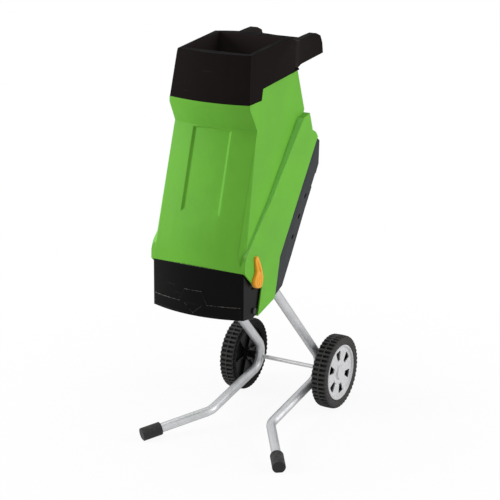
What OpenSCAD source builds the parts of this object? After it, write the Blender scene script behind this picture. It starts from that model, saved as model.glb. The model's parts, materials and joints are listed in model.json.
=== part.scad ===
// Electric garden shredder on a wheeled tube stand
// Z is up, the front faces -Y, millimetres

/* [Stand] */
// Diameter of each wheel
wheel_d = 178; // [150:1:200]
// Width of each wheel
wheel_w = 38; // [30:1:46]
// Distance between the wheels' middle planes
wheel_track = 250; // [230:1:270]
// Diameter of the axle
axle_d = 10; // [8:0.5:12]
// Outside diameter of the stand tubes
tube_d = 22; // [20:0.5:25]
// Wall of the stand tubes
tube_wall = 1.5; // [1:0.1:2.5]
// Distance between the two stand tubes
tube_gap = 160; // [150:1:170]
// Bend radius of the tubes, to their middle line
bend_r = 40; // [35:1:50]
// Rise of the upper legs above the horizontal
leg_rise = 48.4; // [44:0.1:52]
// Fall of the lower legs towards the front
leg_fall = 7; // [5:0.1:8]
// Length of the upper legs, from the bend's corner to the top
leg_up = 512; // [480:1:540]
// Distance from the axle to the front bend
leg_reach = 236; // [220:1:250]
// Sideways reach of each foot beyond its tube
foot_out = 99; // [80:1:110]
// Forward reach of each foot beyond the front bend
foot_front = 141; // [120:1:155]
// Diameter of the foot caps
cap_d = 31; // [29:0.5:34]
// Length of the foot caps
cap_len = 48; // [40:1:56]

/* [Housing] */
// Room between the cutting disc's edge and the slab's sides
side_room = 23; // [21:0.5:27]
// Lean of the slab from the vertical
slab_lean = 38.5; // [37:0.1:40]
// Length of the seam between housing and rear cover
seam_len = 289; // [284:1:296]
// Setback of the tower's sides from the slab's, where the collar starts
tower_in = 15.5; // [14:0.5:17]
// Widening of the tower towards its foot
tower_draft = 2.6; // [2:0.1:3]
// Lean of the tower's front
front_lean = 19.2; // [18:0.1:20]
// Reach of the front at the foot of the leaning face
front_reach = 170; // [166:1:176]
// Wall of the mouldings
wall = 3; // [2.5:0.1:4]
// Depth of the front panel
panel_depth = 4.5; // [3:0.1:5]
// Half width of the front panel
panel_half = 53; // [46:1:56]
// Width of the panel's sloping sides
panel_slope = 7.5; // [5:0.5:9]
// Length of the front panel, down from the collar
panel_len = 195; // [180:1:205]

/* [Hopper] */
// Height of the hopper's seat above the seam corner
seat_v = 362; // [358:1:370]
// Height of the hopper
hopper_h = 101; // [94:1:110]
// Half width of the feed mouth
mouth_half = 80; // [72:1:83]
// Length of the feed mouth
mouth_len = 150; // [135:1:156]
// Diameter of the carrying grip
grip_d = 30; // [26:1:32]

/* [Rear cover] */
// Depth of the rear cover at the motor
cover_d = 56; // [54:1:64]
// Number of vent slots in the rear face
vent_count = 8; // [5:1:9]

/* [Flap] */
// Height of the flap
flap_h = 107; // [102:1:110]
// Rise of the flap's top edge, from its ends to its middle
flap_rise = 6; // [3:0.5:9]
// Bow of the flap, as a radius
flap_r = 315; // [290:1:340]
// Diameter of the hinge screws' shoulders
hinge_d = 8; // [6:0.5:10]

/* [Latches] */
// Length of the lever from pivot to tip
lever_len = 50; // [44:1:56]
// Radius of the lever's boss
lever_r = 22; // [18:0.5:24]
// Diameter of the lever's spindle
spindle_d = 12; // [9:0.5:14]

/* [Cutter] */
// Diameter of the cutting disc
disc_d = 190; // [176:1:194]
// Thickness of the cutting disc
disc_t = 6; // [5:0.5:8]
// Width of each knife
knife_w = 34; // [28:1:40]
// Thickness of each knife
knife_t = 4; // [3:0.5:5]

/* [Motor] */
// Height of the motor axis above the seam corner, along the slab
motor_up = 135; // [130:1:142]
// Outside diameter of the motor case
motor_d = 118; // [108:1:122]
// Outside diameter of the armature
armature_d = 62; // [54:1:66]
// Diameter of the motor shaft
shaft_d = 15; // [12:0.5:17]
// Number of fan blades
fan_blades = 9; // [7:1:13]

/* [Switch] */
// Width of the switch plate
switch_w = 112; // [104:1:124]
// Travel of the push buttons
button_travel = 3; // [2:0.5:4]
// Diameter of the on and off buttons
button_d = 17; // [14:0.5:19]

/* [Fits] */
// Gap between pieces that are fixed together
seat_gap = 0.1; // [0.05:0.05:0.2]
// Gap around pieces that turn or slide
run_gap = 0.3; // [0.2:0.05:0.5]

/* [Hidden] */
$fn = 64;
big = 900;
axle_z = wheel_d / 2;
tube_r = tube_d / 2;
tube_x = tube_gap / 2;
slab_w = disc_d + 2 * side_room;
slab_half = slab_w / 2;
tower_half = slab_half - tower_in;
wheel_x = wheel_track / 2;
wheel_half = wheel_w / 2;
bore_gap = 0.1;

// Tower heights above the seam corner
foot_v = 49;
flap_v = 10;
collar_v = 303;
skirt_v = seat_v + 23;
rear_v = skirt_v + 9;
rim_v = seat_v + hopper_h;
lean_tan = tan(front_lean);
collar_u = -front_reach + (collar_v - foot_v) * lean_tan;
seat_u = collar_u - 22;
rim_u = seat_u + 26;
bow_axis = 270;
rear_tan = 22 / 94;
top_rise = (rear_v - skirt_v) / 155;

// Flap, levers and hinges, from the seam corner
flap_axis = flap_r - front_reach - 5;
flap_low = flap_v - flap_h;
arch_half = slab_half - 6;
arch_r = (arch_half * arch_half + flap_rise * flap_rise) / (2 * flap_rise);
hinge_u = -114;
hinge_v = -89;
lever_u = -102;
lever_v = -16.5;
cam_r = 15.5;
flap_side = slab_half - wall - 1;
flap_t = 2.5;
cheek_x = flap_side - flap_t - 2.5;

// Stand corners in the plane of a tube, with the axle at the bend's middle
up_dir = [0, -cos(leg_rise), sin(leg_rise)];
low_dir = [0, -cos(leg_fall), -sin(leg_fall)];
mid_dir = unit(up_dir + low_dir);
bend_out = bend_r / sin((leg_rise + leg_fall) / 2) - bend_r;
front_most = flap_axis - flap_r - 7;

// The body hangs on the tube tops
tube_in = 35;
tube_low = 31;
socket_y = -tube_in * cos(slab_lean) - tube_low * sin(slab_lean);
socket_z = tube_in * sin(slab_lean) - tube_low * cos(slab_lean);
corner_0 = [tube_x, 0, axle_z] - mid_dir * bend_out;
top_0 = corner_0 + up_dir * leg_up;
axle_y = -(top_0[1] - socket_y + front_most + axle_z) / 2;
shift = [0, axle_y, 0];
rear_bend = corner_0 + shift;
tube_top = top_0 + shift;
body_y = tube_top[1] - socket_y;
body_z = tube_top[2] - socket_z;
front_bend = [tube_x, axle_y - leg_reach, rear_bend[2] + (axle_y - leg_reach - rear_bend[1]) * tan(leg_fall)];
foot_end = [tube_x + foot_out, front_bend[1] - foot_front, cap_d / 2 - 1.2];
foot_dir = unit(foot_end - front_bend);

// Motor axis stations, outward from the seam
case_r = motor_d / 2;
plate_y = -58;
plate_t = 8;
ring_r = disc_d / 2 + 8;
ring_top = -92;
disc_y = -78;
fan_y = -42.6;
fan_r = case_r - 12;
core_y = -33;
core_len = 48;
comm_y = core_y + core_len + 8;
end_y = comm_y + 15;
bear_r = 17.5;
bear_w = 11;
shaft_r = shaft_d / 2;

function unit(v) = v / norm(v);
function basis(z, hint, p) = let (x = unit(hint - (hint * z) * z), y = cross(z, x))
  [[x[0], y[0], z[0], p[0]], [x[1], y[1], z[1], p[1]], [x[2], y[2], z[2], p[2]], [0, 0, 0, 1]];
function side_hint(e) = abs(e[0]) < 0.9 ? [1, 0, 0] : [0, 1, 0];

// A point of the body, seen along the slab
function to_slab(p) = [p[0] * cos(slab_lean) - p[1] * sin(slab_lean), p[0] * sin(slab_lean) + p[1] * cos(slab_lean)];

// Outline moved inwards, each edge by its own distance, for outlines drawn anticlockwise
function edge_in(p, q, d) = let (e = unit(q - p), n = [-e[1], e[0]]) [p + n * d, e];
function meet(a, b) = let (k = cross(a[1], b[1])) a[0] + a[1] * (cross(b[0] - a[0], b[1]) / k);
function inset(pts, d) = let (n = len(pts))
  [for (i = [0:n - 1]) meet(edge_in(pts[(i + n - 1) % n], pts[i], d[(i + n - 1) % n]),
    edge_in(pts[i], pts[(i + 1) % n], d[i]))];

module body() {
  translate([0, body_y, body_z]) children();
}

module slab() {
  body() rotate([-slab_lean, 0, 0]) children();
}

module both_sides() {
  children();
  mirror([1, 0, 0]) children();
}

// Z of the children points outwards from the motor axis, towards the rear
module motor_axis(y = 0) {
  slab() translate([0, y, motor_up]) rotate([-90, 0, 0]) children();
}

module side_prism(pts, width) {
  rotate([90, 0, 90]) linear_extrude(width, center = true) polygon(pts);
}

module front_prism(pts) {
  rotate([90, 0, 0]) linear_extrude(2 * big, center = true) polygon(pts);
}

module x_cylinder(r, x0, x1) {
  translate([x0, 0, 0]) rotate([0, 90, 0]) cylinder(r = r, h = x1 - x0);
}

module rod(p, q, r) {
  e = unit(q - p);
  multmatrix(basis(e, side_hint(e), p)) cylinder(r = r, h = norm(q - p));
}

module pipe(p, q, r, hole) {
  e = unit(q - p);
  multmatrix(basis(e, side_hint(e), p)) linear_extrude(norm(q - p)) ring(r, hole);
}

module ring(r, hole) {
  difference() {
    circle(r);
    circle(hole);
  }
}

module bend(p, d1, d2, r, hole) {
  turn = acos(d1 * d2);
  inward = unit(d2 - (d1 * d2) * d1);
  centre = p - d1 * bend_r * tan(turn / 2) + inward * bend_r;
  multmatrix(basis(cross(-inward, d1), -inward, centre))
    rotate_extrude(angle = turn) translate([bend_r, 0]) ring(r, hole);
}

// Half spaces left of two leaning side planes
module flanks(half, v, draft, flare) {
  intersection_for (s = [0, 1]) mirror([s, 0, 0])
    translate([half, 0, v]) rotate([0, 0, -flare]) rotate([0, -draft, 0])
      translate([-big, -big, -big]) cube([big, 2 * big, 2 * big]);
}

// Front surfaces are turned about an upright axis behind the housing
module front_turned(pts, axis) {
  translate([0, axis, 0]) rotate([0, 0, 180]) rotate_extrude(angle = 180)
    polygon([for (p = pts) [axis - p[0], p[1]]]);
}

// Stand

// Straight runs reach a little way into the bends, which are a touch thicker
module leg_line(r, hole) {
  down = -up_dir;
  bend_a = bend_r * tan((180 - leg_rise - leg_fall) / 2) - 1;
  bend_b = bend_r * tan(acos(low_dir * foot_dir) / 2) - 1;
  pipe(tube_top, rear_bend - down * bend_a, r, hole);
  bend(rear_bend, down, low_dir, r + 0.05, hole - 0.05);
  pipe(rear_bend + low_dir * bend_a, front_bend - low_dir * bend_b, r, hole);
  bend(front_bend, low_dir, foot_dir, r + 0.05, hole - 0.05);
  pipe(front_bend + foot_dir * bend_b, foot_end, r, hole);
}

module stand_tube_right() {
  color("silver") difference() {
    leg_line(tube_r, tube_r - tube_wall);
    translate([0, axle_y, axle_z]) x_cylinder(axle_d / 2 + seat_gap, 0, big);
    stand_screw_lines(3 + seat_gap);
  }
}

module stand_tube_left() {
  mirror([1, 0, 0]) stand_tube_right();
}

module foot_cap_right() {
  start = foot_end - foot_dir * (cap_len - 4);
  color("dimgray") difference() {
    rod(start, foot_end + foot_dir * 4, cap_d / 2);
    rod(start - foot_dir, foot_end + foot_dir * seat_gap, tube_r + seat_gap);
    translate([0, -big, -100]) cube([big, 2 * big, 100]);
  }
}

module foot_cap_left() {
  mirror([1, 0, 0]) foot_cap_right();
}

module axle() {
  reach = wheel_x + 13;
  color("silver") translate([0, axle_y, axle_z]) x_cylinder(axle_d / 2, -reach, reach);
}

module axle_spacers() {
  color("gray") translate([0, axle_y, axle_z]) both_sides() difference() {
    x_cylinder(axle_d / 2 + 4, tube_x + tube_r + seat_gap, wheel_x - wheel_half + 2);
    x_cylinder(axle_d / 2 + seat_gap, 0, big);
  }
}

module axle_clips() {
  clip = wheel_x + 9 + run_gap;
  color("gray") translate([0, axle_y, axle_z]) both_sides() difference() {
    x_cylinder(axle_d / 2 + 3.5, clip, clip + 2);
    x_cylinder(axle_d / 2 + 0.02, 0, big);
  }
}

sleeve_len = 52;

module stand_bracket() {
  end = tube_top + up_dir * 4;
  low = tube_top - up_dir * sleeve_len;
  mid = tube_top - up_dir * (sleeve_len / 2);
  color("dimgray") difference() {
    union() {
      both_sides() rod(end, low, tube_r + 4);
      translate([0, mid[1], mid[2]]) rotate([leg_rise - 90, 0, 0])
        cube([2 * (slab_half - wall - seat_gap), 6, sleeve_len - 10], center = true);
    }
    both_sides() rod(tube_top + up_dir * seat_gap, low - up_dir, tube_r + seat_gap);
    stand_screw_lines(3 + seat_gap);
  }
}

module stand_screw_lines(r) {
  at = tube_top - up_dir * (sleeve_len - 14);
  translate([0, at[1], at[2]]) both_sides() x_cylinder(r, tube_x - tube_r - 12, tube_x + tube_r + 12);
}

module stand_screws() {
  at = tube_top - up_dir * (sleeve_len - 14);
  face = tube_r + 4;
  color("silver") translate([0, at[1], at[2]]) both_sides() translate([tube_x, 0, 0]) {
    x_cylinder(3, -face - 2, face + 2);
    x_cylinder(5.5, face, face + 4);
    translate([-face - 5, 0, 0]) rotate([0, 90, 0]) cylinder(r = 5.8, h = 5, $fn = 6);
  }
}

// Wheels, drawn about Z with the outside up

module wheel_at() {
  translate([wheel_x, axle_y, axle_z]) rotate([0, 90, 0]) children();
}

rim_r = wheel_d / 2 - 22;

module tyre() {
  out = wheel_d / 2;
  h = wheel_half;
  color([0.2, 0.2, 0.2]) difference() {
    rotate_extrude() polygon([[rim_r, 6 - h], [rim_r, h - 6], [rim_r + 3, h - 2], [rim_r + 11, h],
      [out - 5, h - 1], [out, h - 6], [out, 6 - h], [out - 5, 1 - h], [rim_r + 11, -h], [rim_r + 3, 2 - h]]);
    for (a = [0:12:348]) rotate([0, 0, a]) translate([out - 4, -1.6, -h - 1]) cube([8, 3.2, 2 * h + 2]);
    for (z = [-6, 6]) translate([0, 0, z - 1.2]) difference() {
      cylinder(r = out + 2, h = 2.4);
      translate([0, 0, -1]) cylinder(r = out - 4, h = 5);
    }
  }
}

module windows() {
  for (a = [6:60:306]) rotate([0, 0, a]) translate([42, 0, 0]) linear_extrude(4 * wheel_w, center = true)
    polygon([[-12, -5], [9, -11], [12, -9], [12, 9], [9, 11], [-12, 5]]);
}

module wheel_rim() {
  inside = 2.3 - wheel_half;
  color("dimgray") difference() {
    union() {
      rotate_extrude() polygon([[axle_d / 2 + bore_gap, inside], [15, inside], [17, -3], [rim_r - 7, -3],
        [rim_r - 5, 8 - wheel_half], [rim_r - 0.2, 8 - wheel_half], [rim_r - 0.2, wheel_half - 8],
        [rim_r - 5, wheel_half - 8], [rim_r - 7, 1], [16, 1], [14, 9], [axle_d / 2 + bore_gap, 9]]);
      for (a = [36:60:336]) rotate([0, 0, a]) translate([13, -1.5, -10]) cube([rim_r - 16.5, 3, 8]);
    }
    translate([rim_r - 10, 0, 0]) cylinder(r = 2, h = 3 * wheel_w, center = true);
  }
}

module wheel_cover() {
  top = wheel_half - 1.5;
  color([0.8, 0.8, 0.82]) difference() {
    rotate_extrude() polygon([[0, 14.6], [10.6, 14.6], [14.5, 9.6], [rim_r - 8, wheel_half - 8 + 0.2],
      [rim_r - 0.2, wheel_half - 8 + 0.2], [rim_r - 0.2, top], [rim_r - 3, top + 0.6], [rim_r - 7, top - 4],
      [19, top - 4], [16, top], [0, top]]);
    windows();
  }
}

module tyre_right() {
  wheel_at() tyre();
}

module tyre_left() {
  mirror([1, 0, 0]) tyre_right();
}

module wheel_rim_right() {
  wheel_at() wheel_rim();
}

module wheel_rim_left() {
  mirror([1, 0, 0]) wheel_rim_right();
}

module wheel_cover_right() {
  wheel_at() wheel_cover();
}

module wheel_cover_left() {
  mirror([1, 0, 0]) wheel_cover_right();
}

// Green housing

// Middle line of the tower's front, with everything behind it
module tower_front(w) {
  front_turned([[bow_axis - 20, -150], [bow_axis - 20, skirt_v + 60], [seat_u + w, skirt_v + 60],
    [seat_u + w, seat_v - 12], [collar_u + w, collar_v], [-front_reach + w, foot_v],
    [-front_reach - 4 + w, flap_v - 5], [-front_reach - 4 + w, -150]], bow_axis);
}

// Flats along the front corners, below the collar
module corner_planes(w) {
  translate([-big, -big, collar_v]) cube([2 * big, 2 * big, big]);
  edge = unit([2, -(collar_v - foot_v) * lean_tan, foot_v - collar_v]);
  intersection_for (s = [0, 1]) mirror([s, 0, 0])
    multmatrix(basis(-edge, [sin(52), -cos(52), 0], [tower_half - 0.5 - w, collar_u + 14, collar_v]))
      translate([-big, -big, -big]) cube([big, 2 * big, 2 * big]);
}

module tower(w) {
  top = w > 0 ? 30 : 0;
  intersection() {
    side_prism([[-300, flap_v - 9], [-120, flap_v - 9], [-60, 40], [145 - w, 296], [147 - w, 300],
      [125 - w, rear_v], [125 - w, rear_v + top], [-30, skirt_v + top], [-30, skirt_v], [-40, seat_v + top],
      [-300, seat_v + top]], 2 * slab_w);
    tower_front(w);
    flanks(tower_half - w, collar_v, tower_draft, 0);
    corner_planes(w);
  }
}

slab_line = [[-26, -88], [-15, -50], [0, 0], seam_len * [sin(slab_lean), cos(slab_lean)], [183, 229], [174, 242],
  [158, 251], [145, 293], [116, 288], [-35, 142], [-116, 76], [-147, 49], [-160, 22], [-170, flap_v],
  [-170, -96], [-102, -104]];
slab_in = [-8, -8, -8, wall, wall, wall, wall, wall, wall, wall, wall, wall, wall, wall, wall, wall];

module slab_block(w) {
  intersection() {
    side_prism(w > 0 ? inset(slab_line, slab_in) : slab_line, slab_w - 2 * w);
    tower_front(w);
  }
}

// Opening in the housing where the flap sits
flap_notch = [[-400, flap_v], [-157, flap_v], [-117, -31.5], [-83, -39], [-104, -107], [-110, -140],
  [-400, -140]];

// Bow of the flap's top edge, with everything below it
module flap_arch(gap) {
  intersection() {
    translate([0, 0, flap_v + flap_rise - arch_r]) rotate([90, 0, 0])
      cylinder(r = arch_r - gap, h = 2 * big, center = true);
    side_prism([[-400, flap_v - 20], [-150, flap_v - 20], [-150, flap_v + 20], [-400, flap_v + 20]],
      2 * arch_half + 2);
  }
}

// Front panel, with steep sides and a slow run-out at its foot
module panel_block(grow) {
  half = panel_half + grow;
  ease = panel_slope / panel_depth;
  foot = 10 / panel_depth;
  low = -panel_len - grow;
  high = grow - 1;
  translate([0, collar_u, collar_v]) rotate([-front_lean, 0, 0]) intersection() {
    translate([0, 0, low - 150]) linear_extrude(panel_len + 200)
      polygon([[-half - 40 * ease, -40], [half + 40 * ease, -40], [half - 12 * ease, 12], [12 * ease - half, 12]]);
    side_prism([[-40, low - 40 * foot], [12, low + 12 * foot], [12, high - 8.4], [-40, high + 28]], 2 * slab_w);
  }
}

cover_bosses = [24, 143, 258];
boss_x = slab_half - wall - 11;

// Screw boss with a web to the side wall
module cover_boss(h) {
  cylinder(r = 6.5, h = h);
  translate([0, -2, 0]) cube([12, 4, h]);
}

module main_housing() {
  color([0.42, 0.7, 0.24]) body() difference() {
    union() {
      difference() {
        union() {
          tower(0);
          slab_block(0);
        }
        difference() {
          union() {
            tower(wall);
            slab_block(wall);
          }
          difference() {
            panel_block(wall);
            tower_front(wall + panel_depth);
          }
        }
        difference() {
          panel_block(0);
          tower_front(panel_depth);
        }
      }
      rotate([-slab_lean, 0, 0]) both_sides() for (z = cover_bosses) translate([boss_x, -seat_gap, z])
        rotate([90, 0, 0]) cover_boss(26);
      hopper_bosses();
    }
    hopper_screw_lines(2.3);
    side_prism(flap_notch, 2 * slab_w);
    flap_arch(0);
    translate([0, lever_u, lever_v]) x_cylinder(spindle_d / 2 + run_gap, -slab_w, slab_w);
    rotate([-slab_lean, 0, 0]) both_sides() for (z = cover_bosses) translate([boss_x, 1, z])
      rotate([90, 0, 0]) cylinder(r = 2, h = 22);
  }
}

// Hopper

hopper_line = [[-200, seat_v], [-40, seat_v], [-30, skirt_v + seat_gap], [125, rear_v + seat_gap], [272, rear_v + 6],
  [269, rear_v + 30], [260, rear_v + 48], [240, rear_v + 57], [210, rear_v + 57], [167, rear_v + 56],
  [140, rear_v + 59], [98, rim_v + 5], [-64, rim_v], [-200, rim_v]];

module hopper_front(w) {
  front_turned([[bow_axis - 20, seat_v - 30], [bow_axis - 20, rim_v + 40], [rim_u + w, rim_v + 40],
    [rim_u + w, rim_v], [rim_u - 3 + w, rim_v - 7], [seat_u + w, seat_v], [seat_u + w, seat_v - 30]], bow_axis);
}

module hopper_sides(w) {
  flanks(tower_half - 1 - w, seat_v, 5.1, 1.8);
}

module hopper_box(w, low) {
  intersection() {
    side_prism([[-200, seat_v - low], [-40, seat_v - low], [-30, skirt_v - low],
      [150, skirt_v + 180 * top_rise - low], [150, rim_v + 5 - w], [98, rim_v + 5 - w], [-64, rim_v - w],
      [-200, rim_v - w]], 2 * slab_w);
    hopper_front(w);
    hopper_sides(w);
    translate([0, -70, 0]) cylinder(r = tower_half + 91.5 - w, h = 2 * big, center = true);
  }
}

// Plain tapered block from the mouth down to the throat
module funnel(w) {
  back = rim_u + 22 + mouth_len;
  intersection() {
    side_prism([[rim_u + 30 - w, seat_v - 8], [rim_u + 22 - w, rim_v], [rim_u + 20 - w, rim_v + 30],
      [back + 4 + w, rim_v + 30], [back + w, rim_v], [back - 18 + w, seat_v - 8]], 2 * slab_w);
    front_prism([[-mouth_half + 11 - w, seat_v - 8], [mouth_half - 11 + w, seat_v - 8], [mouth_half + w, rim_v],
      [mouth_half + 3 + w, rim_v + 30], [-mouth_half - 3 - w, rim_v + 30], [-mouth_half - w, rim_v]]);
  }
}

// Flush with the hopper's sides, then drawn in towards the grip
module arm() {
  out = tower_half;
  intersection() {
    side_prism(hopper_line, 2 * slab_w);
    hopper_sides(0);
    translate([0, 0, 300]) linear_extrude(300)
      polygon([[out + 30, -40], [out + 30, 60], [out, 98], [out - 17.5, 167], [out - 17.5, 290], [out - 35.5, 290],
        [out - 35.5, 165], [out - 18.5, 92], [out - 14.5, -40]]);
  }
}

module hopper() {
  color([0.13, 0.12, 0.12]) body() difference() {
    union() {
      difference() {
        hopper_box(0, -seat_gap);
        difference() {
          hopper_box(wall + 0.5, 40);
          funnel(wall);
        }
      }
      both_sides() difference() {
        arm();
        hopper_box(wall, 60);
      }
      translate([0, 0, 0.1]) base_plate();
      translate([0, 252, rear_v + 25]) x_cylinder(grip_d / 2, 32.5 - tower_half, tower_half - 32.5);
    }
    funnel(0);
    hopper_screw_lines(2.5);
  }
}

// Closes the top of the tower behind the mouth
module base_plate() {
  difference() {
    intersection() {
      side_prism([[-30, skirt_v], [125, rear_v], [124, rear_v + 4], [-30, skirt_v + 4]], 2 * slab_w);
      hopper_sides(0);
    }
    funnel(1);
  }
}

screw_u = 117.2;
screw_x = 66;

module hopper_screw_lines(r) {
  both_sides() translate([screw_x, screw_u, seat_v - 12]) cylinder(r = r, h = 80);
}

module hopper_bosses() {
  both_sides() intersection() {
    union() {
      translate([screw_x, screw_u, seat_v - 2]) cylinder(r = 5.5, h = 50);
      translate([screw_x - 2, screw_u, seat_v - 2]) cube([4, 20, 50]);
    }
    tower(0);
  }
}

module hopper_screws() {
  head = skirt_v + 4.6 + (screw_u + 20) * 9 / 143.5;
  color("silver") body() both_sides() translate([screw_x, screw_u, head]) {
    translate([0, 0, -24]) cylinder(r = 2.2, h = 25);
    cylinder(r = 4, h = 3.2);
  }
}

// Feed chute, a tapered duct that ends on the cutter plate's ring

chute_top = seat_v + 8;
chute_front = -35;
feed_edge = (chute_front - ring_top * cos(slab_lean)) / sin(slab_lean);

module chute_block(w) {
  back = rim_u + 22 + mouth_len;
  intersection() {
    side_prism([[rim_u + 25 - w, chute_top], [rim_u + 25 - w, seat_v - 12], [chute_front - w, 130],
      [chute_front - w, 40], [60 + w, 200], [30 + w, 230], [back - 12 + w, seat_v - 12], [back - 12 + w, chute_top]],
      2 * slab_w);
    front_prism([[6 - mouth_half - w, chute_top], [6 - mouth_half - w, seat_v - 12], [-54 - w, 200], [-54 - w, 40],
      [54 + w, 40], [54 + w, 200], [mouth_half - 6 + w, seat_v - 12], [mouth_half - 6 + w, chute_top]]);
  }
}

module chute_side(y) {
  slab() translate([-big, y, -big]) cube([2 * big, big, 2 * big]);
}

module feed_chute() {
  color([0.25, 0.25, 0.26]) difference() {
    union() {
      difference() {
        body() chute_block(2.5);
        chute_side(ring_top - 4);
      }
      motor_axis(ring_top - 4) cylinder(r = ring_r + 3, h = 4 - seat_gap);
    }
    body() chute_block(0);
  }
}

// Rear cover

cover_line = [[0, 0], to_slab(slab_line[1]), to_slab(slab_line[0]), [64, -46], [62, 27], [cover_d, 135], [55, 222],
  [53, 249], [15, seam_len + 1], [0, seam_len]];
cover_in = [-8, -8, wall, wall, wall, wall, wall, wall, wall, -8];
cover_seat = [seat_gap, seat_gap, 0, 0, 0, 0, 0, 0, 0, seat_gap];

// Sides of the cover, drawn in towards the rear
module cover_sides(w) {
  linear_extrude(2 * big, center = true) polygon([[w - slab_half, -20], [slab_half - w, -20], [slab_half - w, 6],
    [slab_half - 8 - w, 70], [w - slab_half + 8, 70], [w - slab_half, 6]]);
}

module cover_block(w) {
  intersection() {
    side_prism(inset(cover_line, w > 0 ? cover_in : cover_seat), slab_w);
    cover_sides(w);
  }
}

// Shallow pockets in the sides, below the raised upper end
module side_pockets() {
  difference() {
    side_prism([[14, 206], [32, 186], [70, 196], [70, 232]], 2 * slab_w);
    cover_sides(1.4);
  }
}

// Face of the upper end that carries the switch, Z pointing out of it
face_a = [53, 249];
face_b = [15, seam_len + 1];
face_mid = (face_a + face_b) / 2;
face_turn = atan2(face_a[0] - face_b[0], face_b[1] - face_a[1]);

module switch_face() {
  slab() translate([0, face_mid[0], face_mid[1]]) rotate([face_turn, 0, 0]) rotate([-90, 0, 0]) children();
}

module rear_cover() {
  color([0.3, 0.3, 0.33]) difference() {
    slab() difference() {
      union() {
        difference() {
          cover_block(0);
          cover_block(wall);
        }
        intersection() {
          cover_block(0);
          both_sides() for (z = cover_bosses) translate([boss_x, 0, z]) rotate([-90, 0, 0]) cover_boss(80);
        }
      }
      for (i = [0:vent_count - 1]) translate([-40, 40, 60 + i * 120 / (vent_count - 1)]) cube([80, 40, 6]);
      both_sides() for (z = [62, 112, 162]) translate([slab_half - 20, 29, z - 6]) rotate([-14, 0, 0])
        cube([40, 7, 12]);
      side_pockets();
      both_sides() for (z = cover_bosses) translate([boss_x, -10, z]) rotate([-90, 0, 0]) {
        cylinder(r = 2.7, h = 100);
        translate([0, 0, 34]) cylinder(r = 5, h = 100);
      }
    }
    both_sides() rod(tube_top, tube_top - up_dir * 200, tube_r + run_gap);
    switch_face() translate([-switch_w / 2 + 5, -21, -10]) cube([switch_w - 10, 42, 20]);
  }
}

module cover_screws() {
  color("silver") slab() both_sides() for (z = cover_bosses) translate([boss_x, 0, z]) rotate([-90, 0, 0]) {
    translate([0, 0, -18]) cylinder(r = 1.95, h = 44);
    translate([0, 0, 24]) cylinder(r = 4.4, h = 3);
  }
}

// Switch plate and buttons

button_x = [-34, -10];
reset_x = -46;
inlet_x = 28;

module switch_plate() {
  color([0.2, 0.2, 0.21]) switch_face() difference() {
    union() {
      translate([-switch_w / 2, -24, seat_gap]) cube([switch_w, 48, 2.5]);
      translate([-switch_w / 2 + 5.4, -20.6, -9]) cube([switch_w - 10.8, 41.2, 10]);
    }
    translate([-switch_w / 2 + 8, -18, -20]) cube([switch_w - 16, 36, 19.5]);
    for (x = button_x) translate([x, 6, -20]) cylinder(r = button_d / 2 + run_gap, h = 40);
    translate([(button_x[0] + button_x[1]) / 2, -11, -20]) cylinder(r = 5 + run_gap, h = 40);
    translate([inlet_x, 0, -20]) cylinder(r = 17 + seat_gap, h = 40);
  }
}

module push_button(r) {
  translate([0, 0, -4]) cylinder(r = r, h = 7.2 + button_travel);
  translate([0, 0, -4]) cylinder(r = r + 1.6, h = 2.6);
}

module on_button() {
  color("green") switch_face() translate([button_x[0], 6, 0]) push_button(button_d / 2);
}

module off_button() {
  color("red") switch_face() translate([button_x[1], 6, 0]) push_button(button_d / 2);
}

module reset_button() {
  color("black") switch_face() translate([(button_x[0] + button_x[1]) / 2, -11, 0]) push_button(5);
}

module mains_inlet() {
  color([0.1, 0.1, 0.1]) switch_face() translate([inlet_x, 0, 0]) difference() {
    union() {
      translate([0, 0, -14]) cylinder(r = 17, h = 24);
      translate([0, 0, 2.5 + 2 * seat_gap]) cylinder(r = 20, h = 2.5);
    }
    translate([0, 0, -9]) cylinder(r = 14.5, h = 30);
    for (p = [[-6, 0], [6, 0], [0, 7]]) translate([p[0], p[1], -20]) cylinder(r = 2.4 + 0.02, h = 20);
  }
}

module inlet_pins() {
  color("gold") switch_face() translate([inlet_x, 0, 0])
    for (p = [[-6, 0], [6, 0], [0, 7]]) translate([p[0], p[1], -17]) cylinder(r = 2.4, h = 22);
}

// Flap, its hinge and its latches

module flap_shell(out) {
  face = flap_axis - flap_r - out;
  front_turned([[flap_axis - 200, -140], [flap_axis - 200, 60], [face + 5, 60], [face, flap_v], [face - 5, flap_low],
    [face - 5, -140]], flap_axis);
}

relief_half = flap_side - 6;
relief = [[-relief_half, -68], [-34, -68], [-22, -39], [22, -39], [34, -68], [relief_half, -68],
  [relief_half, flap_low + 5], [-relief_half, flap_low + 5]];
arrow = [[-23, -70], [0, -90], [23, -70]];

module discharge_flap() {
  top = flap_v - run_gap;
  plates = [[-160, top], [-159.5, top], [-121, -38.5], [-88, -44], [-105, -101.5], [-120.5, -104], [-160, flap_low],
    [-260, flap_low], [-260, top]];
  color([0.11, 0.11, 0.11]) body() difference() {
    union() {
      intersection() {
        difference() {
          flap_shell(0);
          flap_shell(-flap_t);
        }
        union() {
          front_prism([[-flap_side, flap_low], [flap_side, flap_low], [flap_side, top], [-flap_side, top]]);
          flap_arch(run_gap);
        }
      }
      intersection() {
        difference() {
          flap_shell(2);
          flap_shell(-1);
          difference() {
            front_prism(arrow);
            flap_shell(0.8);
          }
        }
        front_prism(relief);
      }
      intersection() {
        flap_shell(0);
        both_sides() translate([flap_side - flap_t / 2, 0, 0]) side_prism(plates, flap_t);
      }
    }
    translate([0, hinge_u, hinge_v]) x_cylinder(hinge_d / 2 + bore_gap, -slab_w, slab_w);
  }
}

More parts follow.
